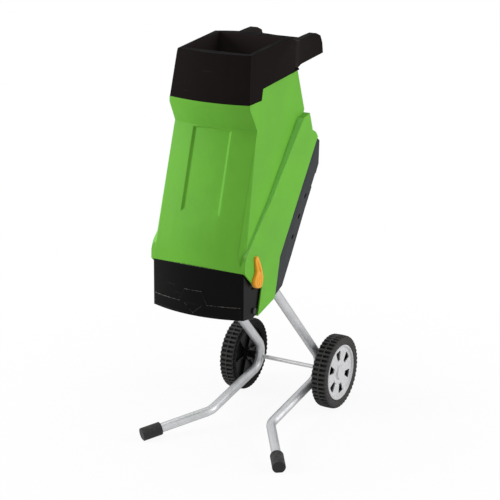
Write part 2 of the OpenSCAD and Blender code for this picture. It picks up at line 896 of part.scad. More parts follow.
module flap_hinge_screws() {
  color("dimgray") body() translate([0, hinge_u, hinge_v]) both_sides() {
    x_cylinder(hinge_d / 2, cheek_x + seat_gap, flap_side + run_gap);
    x_cylinder(hinge_d / 2 + 3, flap_side + run_gap, flap_side + 3);
    x_cylinder(hinge_d / 2 - 1.5, cheek_x - 8, cheek_x + 1);
  }
}

module teardrop(r, tip, len) {
  lean = asin((r - tip) / len);
  circle(r);
  translate([0, len]) circle(tip);
  polygon([r * [cos(lean), sin(lean)], tip * [cos(lean), sin(lean)] + [0, len],
    tip * [-cos(lean), sin(lean)] + [0, len], r * [-cos(lean), sin(lean)]]);
}

module lever_frame() {
  body() translate([0, lever_u, lever_v]) rotate([5.7, 0, 0]) rotate([90, 0, 90]) children();
}

module latch_lever_right() {
  base = slab_half + run_gap;
  color("orange") lever_frame() {
    translate([0, 0, base]) linear_extrude(4) teardrop(lever_r, 6, lever_len);
    translate([0, 0, base + 3]) linear_extrude(4.5) teardrop(12, 3.5, lever_len - 4);
    translate([0, 0, cheek_x + 1]) cylinder(r = spindle_d / 2, h = base - cheek_x);
  }
}

module latch_lever_left() {
  mirror([1, 0, 0]) latch_lever_right();
}

module latch_cam_right() {
  color("dimgray") lever_frame() difference() {
    translate([0, 0, cheek_x + 0.6]) linear_extrude(slab_half - wall - run_gap - cheek_x - 0.6) union() {
      circle(cam_r - 4);
      translate([0, -4]) circle(cam_r - 4);
    }
    cylinder(r = spindle_d / 2 + 0.02, h = big);
  }
}

module latch_cam_left() {
  mirror([1, 0, 0]) latch_cam_right();
}

module discharge_duct() {
  inner = cheek_x - 4;
  cheek = [[-99.5, -98.9], [-80, -39], [-80, 12], [-22, 52], [-34, 68], [-100, 34], [-148, 2], [-146, -92],
    [-122, -97]];
  back = [[-99.5, -98.9], [-95.5, -97.9], [-77, -39], [-77, 11], [-20, 50], [-22, 53], [-80, 13], [-80, -38.5]];
  color([0.2, 0.2, 0.2]) body() difference() {
    union() {
      both_sides() translate([cheek_x - 2, 0, 0]) side_prism(cheek, 4);
      side_prism(back, 2 * cheek_x);
      side_prism([[-77, 8], [-20, 47], [-20, 50], [-77, 11]], slab_w - 2 * wall - 2 * seat_gap);
    }
    translate([0, hinge_u, hinge_v]) x_cylinder(hinge_d / 2 - 1.5 + 0.02, -slab_w, slab_w);
  }
}

// Cutter

module cutter_plate() {
  color([0.7, 0.7, 0.72]) difference() {
    union() {
      motor_axis(plate_y) cylinder(r = ring_r + 4, h = plate_t);
      motor_axis(ring_top) cylinder(r = ring_r + 4, h = plate_y - ring_top + 1);
      slab() translate([seat_gap + wall - slab_half, plate_y, motor_up - 16])
        cube([slab_w - 2 * wall - 2 * seat_gap, plate_t, 32]);
      motor_axis(plate_y) cylinder(r = bear_r + 6, h = plate_t + 6);
    }
    motor_axis(ring_top - 1) cylinder(r = ring_r, h = plate_y - ring_top + 1);
    motor_axis(plate_y - 1) cylinder(r = bear_r - 3, h = 60);
    motor_axis(plate_y + 3) cylinder(r = bear_r + 0.02, h = 60);
    slab() translate([-70, ring_top - 1, motor_up - ring_r - 30]) cube([140, plate_y - ring_top + 1, 60]);
    for (a = [45:90:315]) motor_axis(plate_y - 1) rotate([0, 0, a]) translate([case_r - 7, 0, 0])
      cylinder(r = 2.6, h = 30);
  }
}

module counter_knife() {
  color("silver") slab() translate([-52, ring_top, feed_edge - 12]) cube([104, 6.5, 12]);
}

module disc_turned() {
  motor_axis(disc_y) children();
}

washer_r = 12;
knife_len = disc_d / 2 - washer_r - 7;
knife_r = washer_r + 1.3 + knife_len / 2;

module knife_holes(r, z, h) {
  for (s = [0, 180]) rotate([0, 0, s]) for (k = [-1, 1]) translate([knife_r + k * knife_len * 0.25, 0, z])
    cylinder(r = r, h = h);
}

module cutting_disc() {
  color("gray") disc_turned() difference() {
    union() {
      cylinder(r = disc_d / 2, h = disc_t);
      cylinder(r = 16, h = plate_y - disc_y - 1);
      for (s = [0, 180]) rotate([0, 0, s]) translate([disc_d * 0.24, disc_d * 0.24, disc_t - 1])
        cube([8, 26, 11]);
    }
    translate([0, 0, -1]) cylinder(r = shaft_r + 0.02, h = 60);
    for (s = [0, 180]) rotate([0, 0, s]) translate([knife_r - knife_len / 2 + 4, knife_w / 2 - 3, -1])
      cube([knife_len - 8, 9, disc_t + 2]);
    knife_holes(2.6, -1, disc_t + 2);
  }
}

module knives() {
  color("silver") disc_turned() for (s = [0, 180]) rotate([0, 0, s]) difference() {
    translate([knife_r, 0, -knife_t]) rotate([90, 0, 90]) linear_extrude(knife_len, center = true)
      polygon([[-knife_w / 2, knife_t], [3 - knife_w / 2, 0], [knife_w / 2 - 3, 0], [knife_w / 2, knife_t]]);
    for (k = [-1, 1]) translate([knife_r + k * knife_len * 0.25, 0, -knife_t - 1]) {
      cylinder(r = 3.1, h = 9);
      cylinder(r = 5.6, h = 3.4);
    }
  }
}

module knife_screws() {
  color("dimgray") disc_turned() {
    knife_holes(5.4, -knife_t + 0.2, 2.1);
    knife_holes(2.5, -knife_t + 0.3, disc_t + knife_t + 1.2);
  }
}

module disc_bolt() {
  color("dimgray") disc_turned() {
    translate([0, 0, -3 - seat_gap]) cylinder(r = washer_r, h = 3);
    translate([0, 0, -8]) cylinder(r = 8.5, h = 5.5, $fn = 6);
  }
}

// Motor

module motor_case() {
  start = plate_y + plate_t + seat_gap;
  color([0.35, 0.35, 0.38]) motor_axis(start) difference() {
    cylinder(r = case_r, h = end_y - start - seat_gap);
    translate([0, 0, -1]) cylinder(r = case_r - 2.5, h = 200);
    for (a = [0:45:315]) rotate([0, 0, a]) translate([case_r - 8, -7, 3]) cube([16, 14, 9]);
    for (a = [22.5:45:340]) rotate([0, 0, a]) translate([case_r - 8, -6, end_y - start - 14]) cube([16, 12, 10]);
  }
}

module motor_stator() {
  color([0.6, 0.35, 0.2]) motor_axis(core_y) difference() {
    union() {
      cylinder(r = case_r - 2.5 - seat_gap, h = core_len);
      translate([0, 0, -6]) cylinder(r = case_r - 14, h = core_len + 12);
    }
    translate([0, 0, -10]) cylinder(r = armature_d / 2 + 0.8, h = core_len + 20);
    for (a = [45:90:315]) rotate([0, 0, a]) translate([case_r - 7, 0, -10]) cylinder(r = 2.6, h = core_len + 20);
  }
}

module armature() {
  last = end_y + 11;
  color([0.5, 0.5, 0.52]) {
    motor_axis(disc_y) cylinder(r = shaft_r, h = last - disc_y);
    motor_axis(core_y) difference() {
      cylinder(r = armature_d / 2, h = core_len);
      for (a = [0:30:330]) rotate([0, 0, a]) translate([armature_d / 2 - 7, -1.5, -1]) cube([10, 3, core_len + 2]);
    }
    motor_axis(core_y - 5) cylinder(r = armature_d / 2 - 5, h = core_len + 10);
  }
}

module commutator() {
  color([0.75, 0.45, 0.25]) motor_axis(comm_y) difference() {
    cylinder(r = 17, h = 12);
    translate([0, 0, -1]) cylinder(r = shaft_r + 0.02, h = 20);
    for (a = [0:20:340]) rotate([0, 0, a]) translate([15.5, -0.4, -1]) cube([4, 0.8, 20]);
  }
}

module cooling_fan() {
  color([0.15, 0.15, 0.15]) motor_axis(fan_y) difference() {
    union() {
      cylinder(r = 22, h = 3);
      translate([0, 0, 0.5]) cylinder(r = fan_r, h = 2);
      for (i = [0:fan_blades - 1]) rotate([0, 0, i * 360 / fan_blades]) translate([26, -1, -5.5])
        rotate([0, 0, 12]) cube([fan_r - 28, 2, 6.5]);
    }
    translate([0, 0, -30]) cylinder(r = shaft_r + 0.02, h = 60);
  }
}

module bearing(r_in, r_out, h) {
  difference() {
    cylinder(r = r_out, h = h);
    translate([0, 0, -1]) cylinder(r = r_in, h = h + 2);
    for (z = [-1, h - 1]) translate([0, 0, z]) difference() {
      cylinder(r = r_out - 3, h = 2);
      translate([0, 0, -1]) cylinder(r = r_in + 3, h = 4);
    }
  }
}

module front_bearing() {
  color("silver") motor_axis(plate_y + 3 + seat_gap) bearing(shaft_r + 0.02, bear_r, bear_w - seat_gap);
}

module rear_bearing() {
  color("silver") motor_axis(end_y + 1) bearing(shaft_r + 0.02, bear_r - 1.5, 9);
}

module bearing_bracket() {
  color([0.55, 0.55, 0.58]) motor_axis(end_y) difference() {
    union() {
      cylinder(r = case_r, h = 4);
      cylinder(r = bear_r + 3, h = 11);
    }
    translate([0, 0, -1]) cylinder(r = bear_r - 4, h = 6);
    translate([0, 0, 1 - seat_gap]) cylinder(r = bear_r - 1.5 + 0.02, h = 20);
    for (a = [0:90:270]) rotate([0, 0, a]) translate([bear_r + 6, -10, -1]) cube([24, 20, 8]);
    for (a = [45:90:315]) rotate([0, 0, a]) translate([case_r - 7, 0, -1]) cylinder(r = 2.6, h = 20);
  }
}

module brush_holders() {
  color([0.7, 0.6, 0.3]) motor_axis(comm_y) for (s = [0, 180]) rotate([0, 0, s])
    translate([17 + run_gap, -5, 1]) cube([case_r - 2.5 - 17 - run_gap - 0.4, 10, 8]);
}

module motor_screws() {
  start = plate_y + 1.2;
  color("silver") motor_axis(start) for (a = [45:90:315]) rotate([0, 0, a]) translate([case_r - 7, 0, 0]) {
    cylinder(r = 2.4, h = end_y + 4 + seat_gap - start);
    translate([0, 0, end_y + 4 + seat_gap - start]) cylinder(r = 4.4, h = 3);
  }
}

module safety_switch() {
  low = seat_v - 10;
  rear = 147 - wall - seat_gap - (low - 300) * rear_tan;
  color([0.1, 0.1, 0.1]) body() {
    side_prism([[104, low], [rear, low], [rear - 26 * rear_tan, low + 26], [104, low + 26]], 28);
    translate([-3, 108, low + 24]) cube([6, 6, 16.5]);
  }
}

stand_tube_left();
stand_tube_right();
foot_cap_left();
foot_cap_right();
axle();
axle_spacers();
axle_clips();
stand_bracket();
stand_screws();
tyre_left();
tyre_right();
wheel_rim_left();
wheel_rim_right();
wheel_cover_left();
wheel_cover_right();
main_housing();
hopper();
hopper_screws();
feed_chute();
rear_cover();
cover_screws();
switch_plate();
on_button();
off_button();
reset_button();
mains_inlet();
inlet_pins();
discharge_flap();
flap_hinge_screws();
latch_lever_left();
latch_lever_right();
latch_cam_left();
latch_cam_right();
discharge_duct();
cutter_plate();
counter_knife();
cutting_disc();
knives();
knife_screws();
disc_bolt();
motor_case();
motor_stator();
armature();
commutator();
cooling_fan();
front_bearing();
rear_bearing();
bearing_bracket();
brush_holders();
motor_screws();
safety_switch();
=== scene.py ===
"""Looks of an electric garden shredder on its wheeled stand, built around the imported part."""

import json
import math

import bmesh
import bpy
import numpy as np
from bpy.props import FloatProperty, FloatVectorProperty, IntProperty, PointerProperty
from bpy.types import Operator, Panel, PropertyGroup
from mathutils import Matrix, Vector


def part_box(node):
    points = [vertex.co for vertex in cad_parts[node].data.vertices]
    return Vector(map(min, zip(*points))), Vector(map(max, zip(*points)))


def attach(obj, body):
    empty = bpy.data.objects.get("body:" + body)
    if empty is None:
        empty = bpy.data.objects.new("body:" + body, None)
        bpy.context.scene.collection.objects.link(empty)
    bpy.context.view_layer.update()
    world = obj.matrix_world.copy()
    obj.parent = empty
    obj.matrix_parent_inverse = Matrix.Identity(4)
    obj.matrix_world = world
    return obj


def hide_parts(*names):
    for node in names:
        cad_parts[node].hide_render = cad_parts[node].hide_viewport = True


bl_info = {
    "name": "Garden shredder looks",
    "version": (1, 0, 0),
    "blender": (4, 5, 0),
    "location": "View3D > Sidebar > Shredder",
    "description": "Finishes, softened mouldings, tread and latches of a garden shredder on its stand",
    "category": "Object",
}

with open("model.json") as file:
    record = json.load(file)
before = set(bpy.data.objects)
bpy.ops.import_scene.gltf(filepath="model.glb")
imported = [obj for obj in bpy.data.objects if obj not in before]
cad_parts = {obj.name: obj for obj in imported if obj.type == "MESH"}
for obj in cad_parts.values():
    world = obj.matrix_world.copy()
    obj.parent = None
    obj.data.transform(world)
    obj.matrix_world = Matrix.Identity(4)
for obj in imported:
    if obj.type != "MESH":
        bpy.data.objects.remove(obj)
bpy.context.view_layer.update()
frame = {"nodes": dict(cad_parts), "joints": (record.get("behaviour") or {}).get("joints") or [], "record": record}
nodes = frame["nodes"]
groups_of_nodes = frame["record"]["behaviour"]["bodies"]
body_of = {name: body for body, names in groups_of_nodes.items() for name in names}
joint_of = {joint["child"]: joint for joint in frame["joints"]}


# Sizes and colours that a user would change


def length(name, text, value):
    """A length in metres for the sidebar."""
    return FloatProperty(name=name, description=text, default=value, min=0.0, unit="LENGTH", precision=4)


def tint(name, text, value):
    """A colour for the sidebar, in scene linear values."""
    return FloatVectorProperty(
        name=name, description=text, default=value, size=3, min=0.0, max=1.0, subtype="COLOR", precision=4
    )


def view_angle(name, text, degrees):
    """An angle for the sidebar."""
    return FloatProperty(name=name, description=text, default=math.radians(degrees), subtype="ANGLE")


class ShredderSizes(PropertyGroup):
    """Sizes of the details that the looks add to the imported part."""

    body_edge: length("Body edge", "Rounding of the large mouldings' edges", 0.0022)
    small_edge: length("Small edge", "Rounding of the small pieces' edges", 0.0008)
    tread_bars: IntProperty(name="Tread bars", description="Bars on each tyre", default=48, min=20, max=70)
    tread_depth: length("Tread depth", "Depth of the pits between the bars", 0.0038)
    plate_height: length("Latch plate", "Thickness of each latch lever at its edge", 0.0040)
    blade_height: length("Latch blade", "Height of the finger blade on each latch lever", 0.0035)
    mark_size: length("Button mark", "Height of the raised marks on the push buttons", 0.0075)


class ShredderColours(PropertyGroup):
    """Base colours of the finishes."""

    green: tint("Housing", "Green of the main housing", (0.146, 0.450, 0.042))
    black: tint("Hopper", "Black of the hopper", (0.0120, 0.0094, 0.0089))
    flap: tint("Flap", "Black of the discharge flap", (0.00144, 0.001128, 0.001068))
    grey: tint("Rear cover", "Grey of the rear cover", (0.0375, 0.0408, 0.0445))
    orange: tint("Latches", "Orange of the latch levers", (0.880, 0.375, 0.016))
    silver: tint("Wheel covers", "Silver of the wheel covers", (0.600, 0.600, 0.615))
    tyre: tint("Tyres", "Rubber of the tyres", (0.056, 0.054, 0.053))
    foot: tint("Foot caps", "Rubber of the foot caps", (0.036, 0.036, 0.037))
    tube: tint("Stand tubes", "Silver paint of the stand tubes", (0.660, 0.665, 0.685))


class ShredderStage(PropertyGroup):
    """Camera of the stage."""

    eye: FloatVectorProperty(
        name="Eye",
        description="Place of the camera",
        default=(1.8543, -3.2163, 1.7418),
        size=3,
        subtype="TRANSLATION",
        unit="LENGTH",
    )
    azimuth: view_angle("Azimuth", "Turn of the view to the right of the front", 30.014)
    elevation: view_angle("Elevation", "Height of the view above level", 19.455)
    roll: view_angle("Roll", "Turn of the picture about the view", -1.02)
    lens: FloatProperty(name="Lens", description="Focal length in millimetres", default=124.22, min=20.0)


# Mesh helpers


def grid_quads(rows, columns, wrap_rows=False, wrap_columns=False):
    """Quads between neighbours of a grid of points; a wrapped direction joins its end to its start."""
    row = np.arange(rows if wrap_rows else rows - 1)
    column = np.arange(columns if wrap_columns else columns - 1)
    row, column = np.meshgrid(row, column, indexing="ij")
    next_row = (row + 1) % rows
    next_column = (column + 1) % columns
    corners = (
        row * columns + column,
        next_row * columns + column,
        next_row * columns + next_column,
        row * columns + next_column,
    )
    return np.stack(corners, axis=-1).reshape(-1, 4)


def joined(surfaces):
    """Points and quads of several surfaces as one pair of arrays."""
    starts = np.cumsum([0] + [len(points) for points, quads in surfaces[:-1]])
    points = np.concatenate([surface[0] for surface in surfaces])
    quads = np.concatenate([surface[1] + start for surface, start in zip(surfaces, starts)])
    return points, quads


def mesh_piece(name, points, quads, body, coat, replaced=(), crease=40.0):
    """A piece from arrays, with doubled points merged at seams and poles and its faces turned outwards."""
    weld, sliver = 1e-6, 1e-7
    mesh = bpy.data.meshes.new(name)
    mesh.vertices.add(len(points))
    mesh.vertices.foreach_set("co", np.asarray(points, np.float32).ravel())
    mesh.loops.add(4 * len(quads))
    mesh.loops.foreach_set("vertex_index", np.asarray(quads, np.int32).ravel())
    mesh.polygons.add(len(quads))
    mesh.polygons.foreach_set("loop_start", np.arange(len(quads), dtype=np.int32) * 4)
    mesh.update(calc_edges=True)
    mesh.validate()
    work = bmesh.new()
    work.from_mesh(mesh)
    bmesh.ops.remove_doubles(work, verts=work.verts, dist=weld)
    bmesh.ops.dissolve_degenerate(work, edges=work.edges, dist=sliver)
    bmesh.ops.recalc_face_normals(work, faces=work.faces)
    work.to_mesh(mesh)
    work.free()
    finished_piece(name, mesh, body, coat, replaced, crease)


def finished_piece(name, mesh, body, coat, replaced, crease):
    """An object for a mesh that shades smoothly up to the crease angle, riding on its body."""
    mesh.polygons.foreach_set("use_smooth", np.ones(len(mesh.polygons), bool))
    mesh.set_sharp_from_angle(angle=math.radians(crease))
    mesh.materials.clear()
    mesh.materials.append(coat)
    piece = bpy.data.objects.new(name, mesh)
    bpy.context.scene.collection.objects.link(piece)
    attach(piece, body)
    if replaced:
        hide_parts(*replaced)
    return piece


def soft_copy(node, name, width, segments, coat):
    """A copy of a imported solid, merged into clean faces, with every edge above an angle rounded."""
    weld, flat_angle, edge_angle = 2e-5, 0.6, 28.0
    mesh = nodes[node].data.copy()
    mesh.name = name
    for layer in ("custom_normal", "sharp_face", "sharp_edge"):
        if layer in mesh.attributes:
            mesh.attributes.remove(mesh.attributes[layer])
    work = bmesh.new()
    work.from_mesh(mesh)
    bmesh.ops.remove_doubles(work, verts=work.verts, dist=weld)
    limit = math.radians(flat_angle)
    bmesh.ops.dissolve_limit(work, angle_limit=limit, verts=work.verts, edges=work.edges)
    work.to_mesh(mesh)
    work.free()
    piece = finished_piece(name, mesh, body_of[node], coat, (node,), edge_angle)
    bevel = piece.modifiers.new("Soft edges", "BEVEL")
    bevel.width = width
    bevel.segments = segments
    bevel.limit_method = "ANGLE"
    bevel.angle_limit = math.radians(edge_angle)
    bevel.use_clamp_overlap = True
    bevel.harden_normals = True


def paint(coat, *names):
    """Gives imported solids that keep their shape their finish."""
    for name in names:
        mesh = nodes[name].data
        mesh.materials.clear()
        mesh.materials.append(coat)


# Shader helpers


def new_group(name, inputs, outputs):
    """An empty shader group with float inputs and outputs."""
    group = bpy.data.node_groups.new(name, "ShaderNodeTree")
    for label, value in inputs:
        socket = group.interface.new_socket(name=label, in_out="INPUT", socket_type="NodeSocketFloat")
        socket.default_value = value
    for label in outputs:
        group.interface.new_socket(name=label, in_out="OUTPUT", socket_type="NodeSocketFloat")
    entry = group.nodes.new("NodeGroupInput")
    leave = group.nodes.new("NodeGroupOutput")
    return group, entry, leave


def fed_node(tree, kind, operation, values):
    """A node of a kind and operation whose inputs are fed by sockets or plain values."""
    node = tree.nodes.new(kind)
    node.operation = operation
    for place, value in enumerate(values):
        if isinstance(value, bpy.types.NodeSocket):
            tree.links.new(value, node.inputs[place])
        else:
            node.inputs[place].default_value = value
    return node


def math_node(tree, operation, *values):
    """The result of a sum on numbers."""
    return fed_node(tree, "ShaderNodeMath", operation, values).outputs[0]


def vector_node(tree, operation, *values):
    """The result of a sum on vectors: a number for products and lengths, or else a vector."""
    node = fed_node(tree, "ShaderNodeVectorMath", operation, values)
    return node.outputs["Value" if operation in ("DOT_PRODUCT", "LENGTH") else "Vector"]


def product(tree, first, *others):
    """The product of several values."""
    for other in others:
        first = math_node(tree, "MULTIPLY", first, other)
    return first


def ranged(tree, value, low, high, to_low=0.0, to_high=1.0):
    """A value carried from one range to another, held at its ends."""
    node = tree.nodes.new("ShaderNodeMapRange")
    node.interpolation_type = "SMOOTHSTEP"
    node.inputs["From Min"].default_value = low
    node.inputs["From Max"].default_value = high
    node.inputs["To Min"].default_value = to_low
    node.inputs["To Max"].default_value = to_high
    tree.links.new(value, node.inputs["Value"])
    return node.outputs["Result"]


def noise_value(tree, place, scale, detail):
    """A noise value at a place; the scale is a number or a socket."""
    node = tree.nodes.new("ShaderNodeTexNoise")
    node.inputs["Detail"].default_value = detail
    node.inputs["Roughness"].default_value = 0.55
    tree.links.new(place, node.inputs["Vector"])
    if isinstance(scale, bpy.types.NodeSocket):
        tree.links.new(scale, node.inputs["Scale"])
    else:
        node.inputs["Scale"].default_value = scale
    return node.outputs["Fac"]


def object_place(tree, scale=(1.0, 1.0, 1.0), turn=(0.0, 0.0, 0.0)):
    """Object coordinates, stretched and turned for streaks."""
    place = tree.nodes.new("ShaderNodeTexCoord").outputs["Object"]
    if scale == (1.0, 1.0, 1.0) and turn == (0.0, 0.0, 0.0):
        return place
    mapping = tree.nodes.new("ShaderNodeMapping")
    mapping.inputs["Scale"].default_value = scale
    mapping.inputs["Rotation"].default_value = turn
    tree.links.new(place, mapping.inputs["Vector"])
    return mapping.outputs["Vector"]


def surface_normal(tree):
    """The way that the surface faces."""
    return tree.nodes.new("ShaderNodeNewGeometry").outputs["Normal"]


def split(tree, vector):
    """The three parts of a vector, by name."""
    node = tree.nodes.new("ShaderNodeSeparateXYZ")
    tree.links.new(vector, node.inputs["Vector"])
    return node.outputs


# Shader groups that several finishes share


def moulded_grain():
    """Spark-eroded mould texture: rounded cells broken up by fine noise, and slow clouds for the colour."""
    inputs = [("Grain", 900.0), ("Clouds", 9.0)]
    group, entry, leave = new_group("Moulded grain", inputs, ["Height", "Clouds"])
    place = object_place(group)
    cells = group.nodes.new("ShaderNodeTexVoronoi")
    cells.feature = "SMOOTH_F1"
    group.links.new(place, cells.inputs["Vector"])
    group.links.new(entry.outputs["Grain"], cells.inputs["Scale"])
    fine = noise_value(group, place, entry.outputs["Grain"], 2.0)
    height = math_node(group, "ADD", cells.outputs["Distance"], fine)
    group.links.new(height, leave.inputs["Height"])
    clouds = noise_value(group, place, entry.outputs["Clouds"], 4.0)
    group.links.new(ranged(group, clouds, 0.3, 0.7), leave.inputs["Clouds"])
    return group


def handling_marks():
    """Hairline scuffs: two noises stretched along crossing lines, kept only at their peaks."""
    group, entry, leave = new_group("Handling marks", [("Amount", 0.3)], ["Mask"])
    along = object_place(group, (6.0, 90.0, 240.0), (0.5, 0.2, 0.9))
    across = object_place(group, (210.0, 8.0, 60.0), (0.1, 0.8, -0.4))
    first = ranged(group, noise_value(group, along, 1.0, 2.0), 0.66, 0.74)
    second = ranged(group, noise_value(group, across, 1.0, 2.0), 0.68, 0.76)
    patches = ranged(group, noise_value(group, object_place(group), 14.0, 2.0), 0.5, 0.68)
    lines = math_node(group, "MAXIMUM", first, second)
    mask = product(group, lines, patches, entry.outputs["Amount"])
    group.links.new(mask, leave.inputs["Mask"])
    return group


def dust_and_highlight_on_top():
    """Dust where a surface looks up, on the flap a painted highlight: the upward normal broken up by noise."""
    group, entry, leave = new_group("Settled dust", [("Amount", 0.1)], ["Mask"])
    upward = ranged(group, split(group, surface_normal(group))["Z"], 0.15, 0.95)
    specks = ranged(group, noise_value(group, object_place(group), 130.0, 5.0), 0.35, 0.75)
    mask = product(group, upward, specks, entry.outputs["Amount"])
    group.links.new(mask, leave.inputs["Mask"])
    return group


def edge_rub():
    """Rubbed edges: how far the rounded normal within a width leans from the true one, in patches."""
    group, entry, leave = new_group("Edge rub", [("Width", 0.0025), ("Amount", 0.3)], ["Mask"])
    rounded = group.nodes.new("ShaderNodeBevel")
    rounded.samples = 4
    group.links.new(entry.outputs["Width"], rounded.inputs["Radius"])
    true = group.nodes.new("ShaderNodeNewGeometry").outputs["True Normal"]
    lean = vector_node(group, "DOT_PRODUCT", rounded.outputs["Normal"], true)
    edge = ranged(group, lean, 0.98, 0.80)
    patches = ranged(group, noise_value(group, object_place(group), 34.0, 4.0), 0.42, 0.62)
    mask = product(group, edge, patches, entry.outputs["Amount"])
    group.links.new(mask, leave.inputs["Mask"])
    return group


def metal_surface():
    """Drawn or ground metal: fine pits and slow clouds, with long streaks across the machine."""
    inputs = [("Pits", 700.0), ("Streaks", 0.4)]
    group, entry, leave = new_group("Metal surface", inputs, ["Height", "Clouds"])
    pits = noise_value(group, object_place(group), entry.outputs["Pits"], 3.0)
    lines = noise_value(group, object_place(group, (4.0, 260.0, 260.0)), 1.0, 2.0)
    share = math_node(group, "MULTIPLY", lines, entry.outputs["Streaks"])
    group.links.new(math_node(group, "ADD", pits, share), leave.inputs["Height"])
    clouds = noise_value(group, object_place(group), 22.0, 4.0)
    group.links.new(ranged(group, clouds, 0.3, 0.7), leave.inputs["Clouds"])
    return group


GROUP_MAKERS = {
    "Moulded grain": moulded_grain,
    "Handling marks": handling_marks,
    "Settled dust": dust_and_highlight_on_top,
    "Edge rub": edge_rub,
    "Metal surface": metal_surface,
}


def use_group(tree, name, **values):
    """A shared group placed in a material with its own values."""
    group = bpy.data.node_groups.get(name) or GROUP_MAKERS[name]()
    node = tree.nodes.new("ShaderNodeGroup")
    node.node_tree = group
    for label, value in values.items():
        node.inputs[label].default_value = value
    return node


# Finishes


def mixed(tree, share, first, second):
    """Colour that goes from the first to the second by a share; each is a socket or three numbers."""
    node = tree.nodes.new("ShaderNodeMix")
    node.data_type = "RGBA"
    tree.links.new(share, node.inputs["Factor"])
    colour_inputs = [socket for socket in node.inputs if socket.type == "RGBA"]
    for socket, value in zip(colour_inputs, (first, second)):
        if isinstance(value, bpy.types.NodeSocket):
            tree.links.new(value, socket)
        else:
            socket.default_value = (*value, 1.0)
    return [socket for socket in node.outputs if socket.type == "RGBA"][0]


def empty_material(name):
    """A new material, its node tree and its shader."""
    material = bpy.data.materials.new(name)
    material.use_nodes = True
    shader = material.node_tree.nodes["Principled BSDF"]
    return material, material.node_tree, shader


def bump(tree, shader, height, strength, distance, rounding=0.0):
    """Puts a height onto the shader's normal, which a rounding first turns softly around the edges."""
    node = tree.nodes.new("ShaderNodeBump")
    node.inputs["Strength"].default_value = strength
    node.inputs["Distance"].default_value = distance
    tree.links.new(height, node.inputs["Height"])
    tree.links.new(node.outputs["Normal"], shader.inputs["Normal"])
    if rounding > 0.0:
        soft = tree.nodes.new("ShaderNodeBevel")
        soft.samples = 8
        soft.inputs["Radius"].default_value = rounding
        tree.links.new(soft.outputs["Normal"], node.inputs["Normal"])


PALE_DUST_AND_HIGHLIGHT = (0.42, 0.40, 0.36)
GREY_DUST = (0.36, 0.34, 0.31)


def shade(colour, factor):
    """A colour made darker or lighter, up to white."""
    return tuple(min(1.0, part * factor) for part in colour)


def paled(colour, factor, lift):
    """A colour times a factor, with some white added."""
    return tuple(factor * part + lift for part in colour)


def moulded(name, colour, smooth, rough, grain, depth, dust, marks, rub, specular, rounding):
    """Moulded plastic or rubber: clouded colour, grain in the normal, scuffs, rubbed edges, dust and painted
    highlight.
    """
    dark_cloud, pale_cloud, scuff_gloss, grain_strength = 0.94, 1.05, 0.25, 0.30
    material, tree, shader = empty_material(name)
    texture = use_group(tree, "Moulded grain", Grain=grain)
    scuffs = use_group(tree, "Handling marks", Amount=marks)
    dust_and_highlight_mask = use_group(tree, "Settled dust", Amount=dust)
    worn = use_group(tree, "Edge rub", Amount=rub)
    tone = mixed(tree, texture.outputs["Clouds"], shade(colour, dark_cloud), shade(colour, pale_cloud))
    pale = paled(colour, 0.75, 0.10)
    tone = mixed(tree, worn.outputs["Mask"], tone, pale)
    tone = mixed(tree, scuffs.outputs["Mask"], tone, pale)
    # A paler tone where the surface looks up: settled dust, and on the flap a painted highlight on the relief.
    tone = mixed(tree, dust_and_highlight_mask.outputs["Mask"], tone, PALE_DUST_AND_HIGHLIGHT)
    tree.links.new(tone, shader.inputs["Base Color"])
    gloss = ranged(tree, texture.outputs["Clouds"], 0.0, 1.0, smooth, rough)
    gloss = math_node(tree, "ADD", gloss, product(tree, scuffs.outputs["Mask"], scuff_gloss))
    tree.links.new(gloss, shader.inputs["Roughness"])
    shader.inputs["Specular IOR Level"].default_value = specular
    bump(tree, shader, texture.outputs["Height"], grain_strength, depth, rounding)
    return material


def metal(name, colour, smooth, rough, metallic, pits, streaks, dust, rub, flop):
    """Bare or painted metal: clouded tone and gloss, fine pits, streaks, dust and brighter edges.

    The flop is the share of the tone that stays where flake paint turns away from the eye.
    """
    dark_cloud, pale_cloud, bright_edge = 0.92, 1.05, 1.35
    marks, scuff_gloss, pit_strength, pit_depth = 0.35, 0.2, 0.22, 0.00008
    turned_away = (0.35, 0.90)
    material, tree, shader = empty_material(name)
    texture = use_group(tree, "Metal surface", Pits=pits, Streaks=streaks)
    scuffs = use_group(tree, "Handling marks", Amount=marks)
    dust_and_highlight_mask = use_group(tree, "Settled dust", Amount=dust)
    worn = use_group(tree, "Edge rub", Amount=rub)
    tone = mixed(tree, texture.outputs["Clouds"], shade(colour, dark_cloud), shade(colour, pale_cloud))
    tone = mixed(tree, worn.outputs["Mask"], tone, shade(colour, bright_edge))
    tone = mixed(tree, dust_and_highlight_mask.outputs["Mask"], tone, GREY_DUST)
    if flop < 1.0:
        facing = tree.nodes.new("ShaderNodeLayerWeight").outputs["Facing"]
        tone = mixed(tree, ranged(tree, facing, *turned_away), tone, shade(colour, flop))
    tree.links.new(tone, shader.inputs["Base Color"])
    gloss = ranged(tree, texture.outputs["Clouds"], 0.0, 1.0, smooth, rough)
    gloss = math_node(tree, "ADD", gloss, product(tree, scuffs.outputs["Mask"], scuff_gloss))
    tree.links.new(gloss, shader.inputs["Roughness"])
    shader.inputs["Metallic"].default_value = metallic
    bump(tree, shader, texture.outputs["Height"], pit_strength, pit_depth)
    return material


def base_tone(material):
    """A material's tree, the socket of its base colour, and the tone that feeds it."""
    tree = material.node_tree
    socket = tree.nodes["Principled BSDF"].inputs["Base Color"]
    return tree, socket, socket.links[0].from_socket


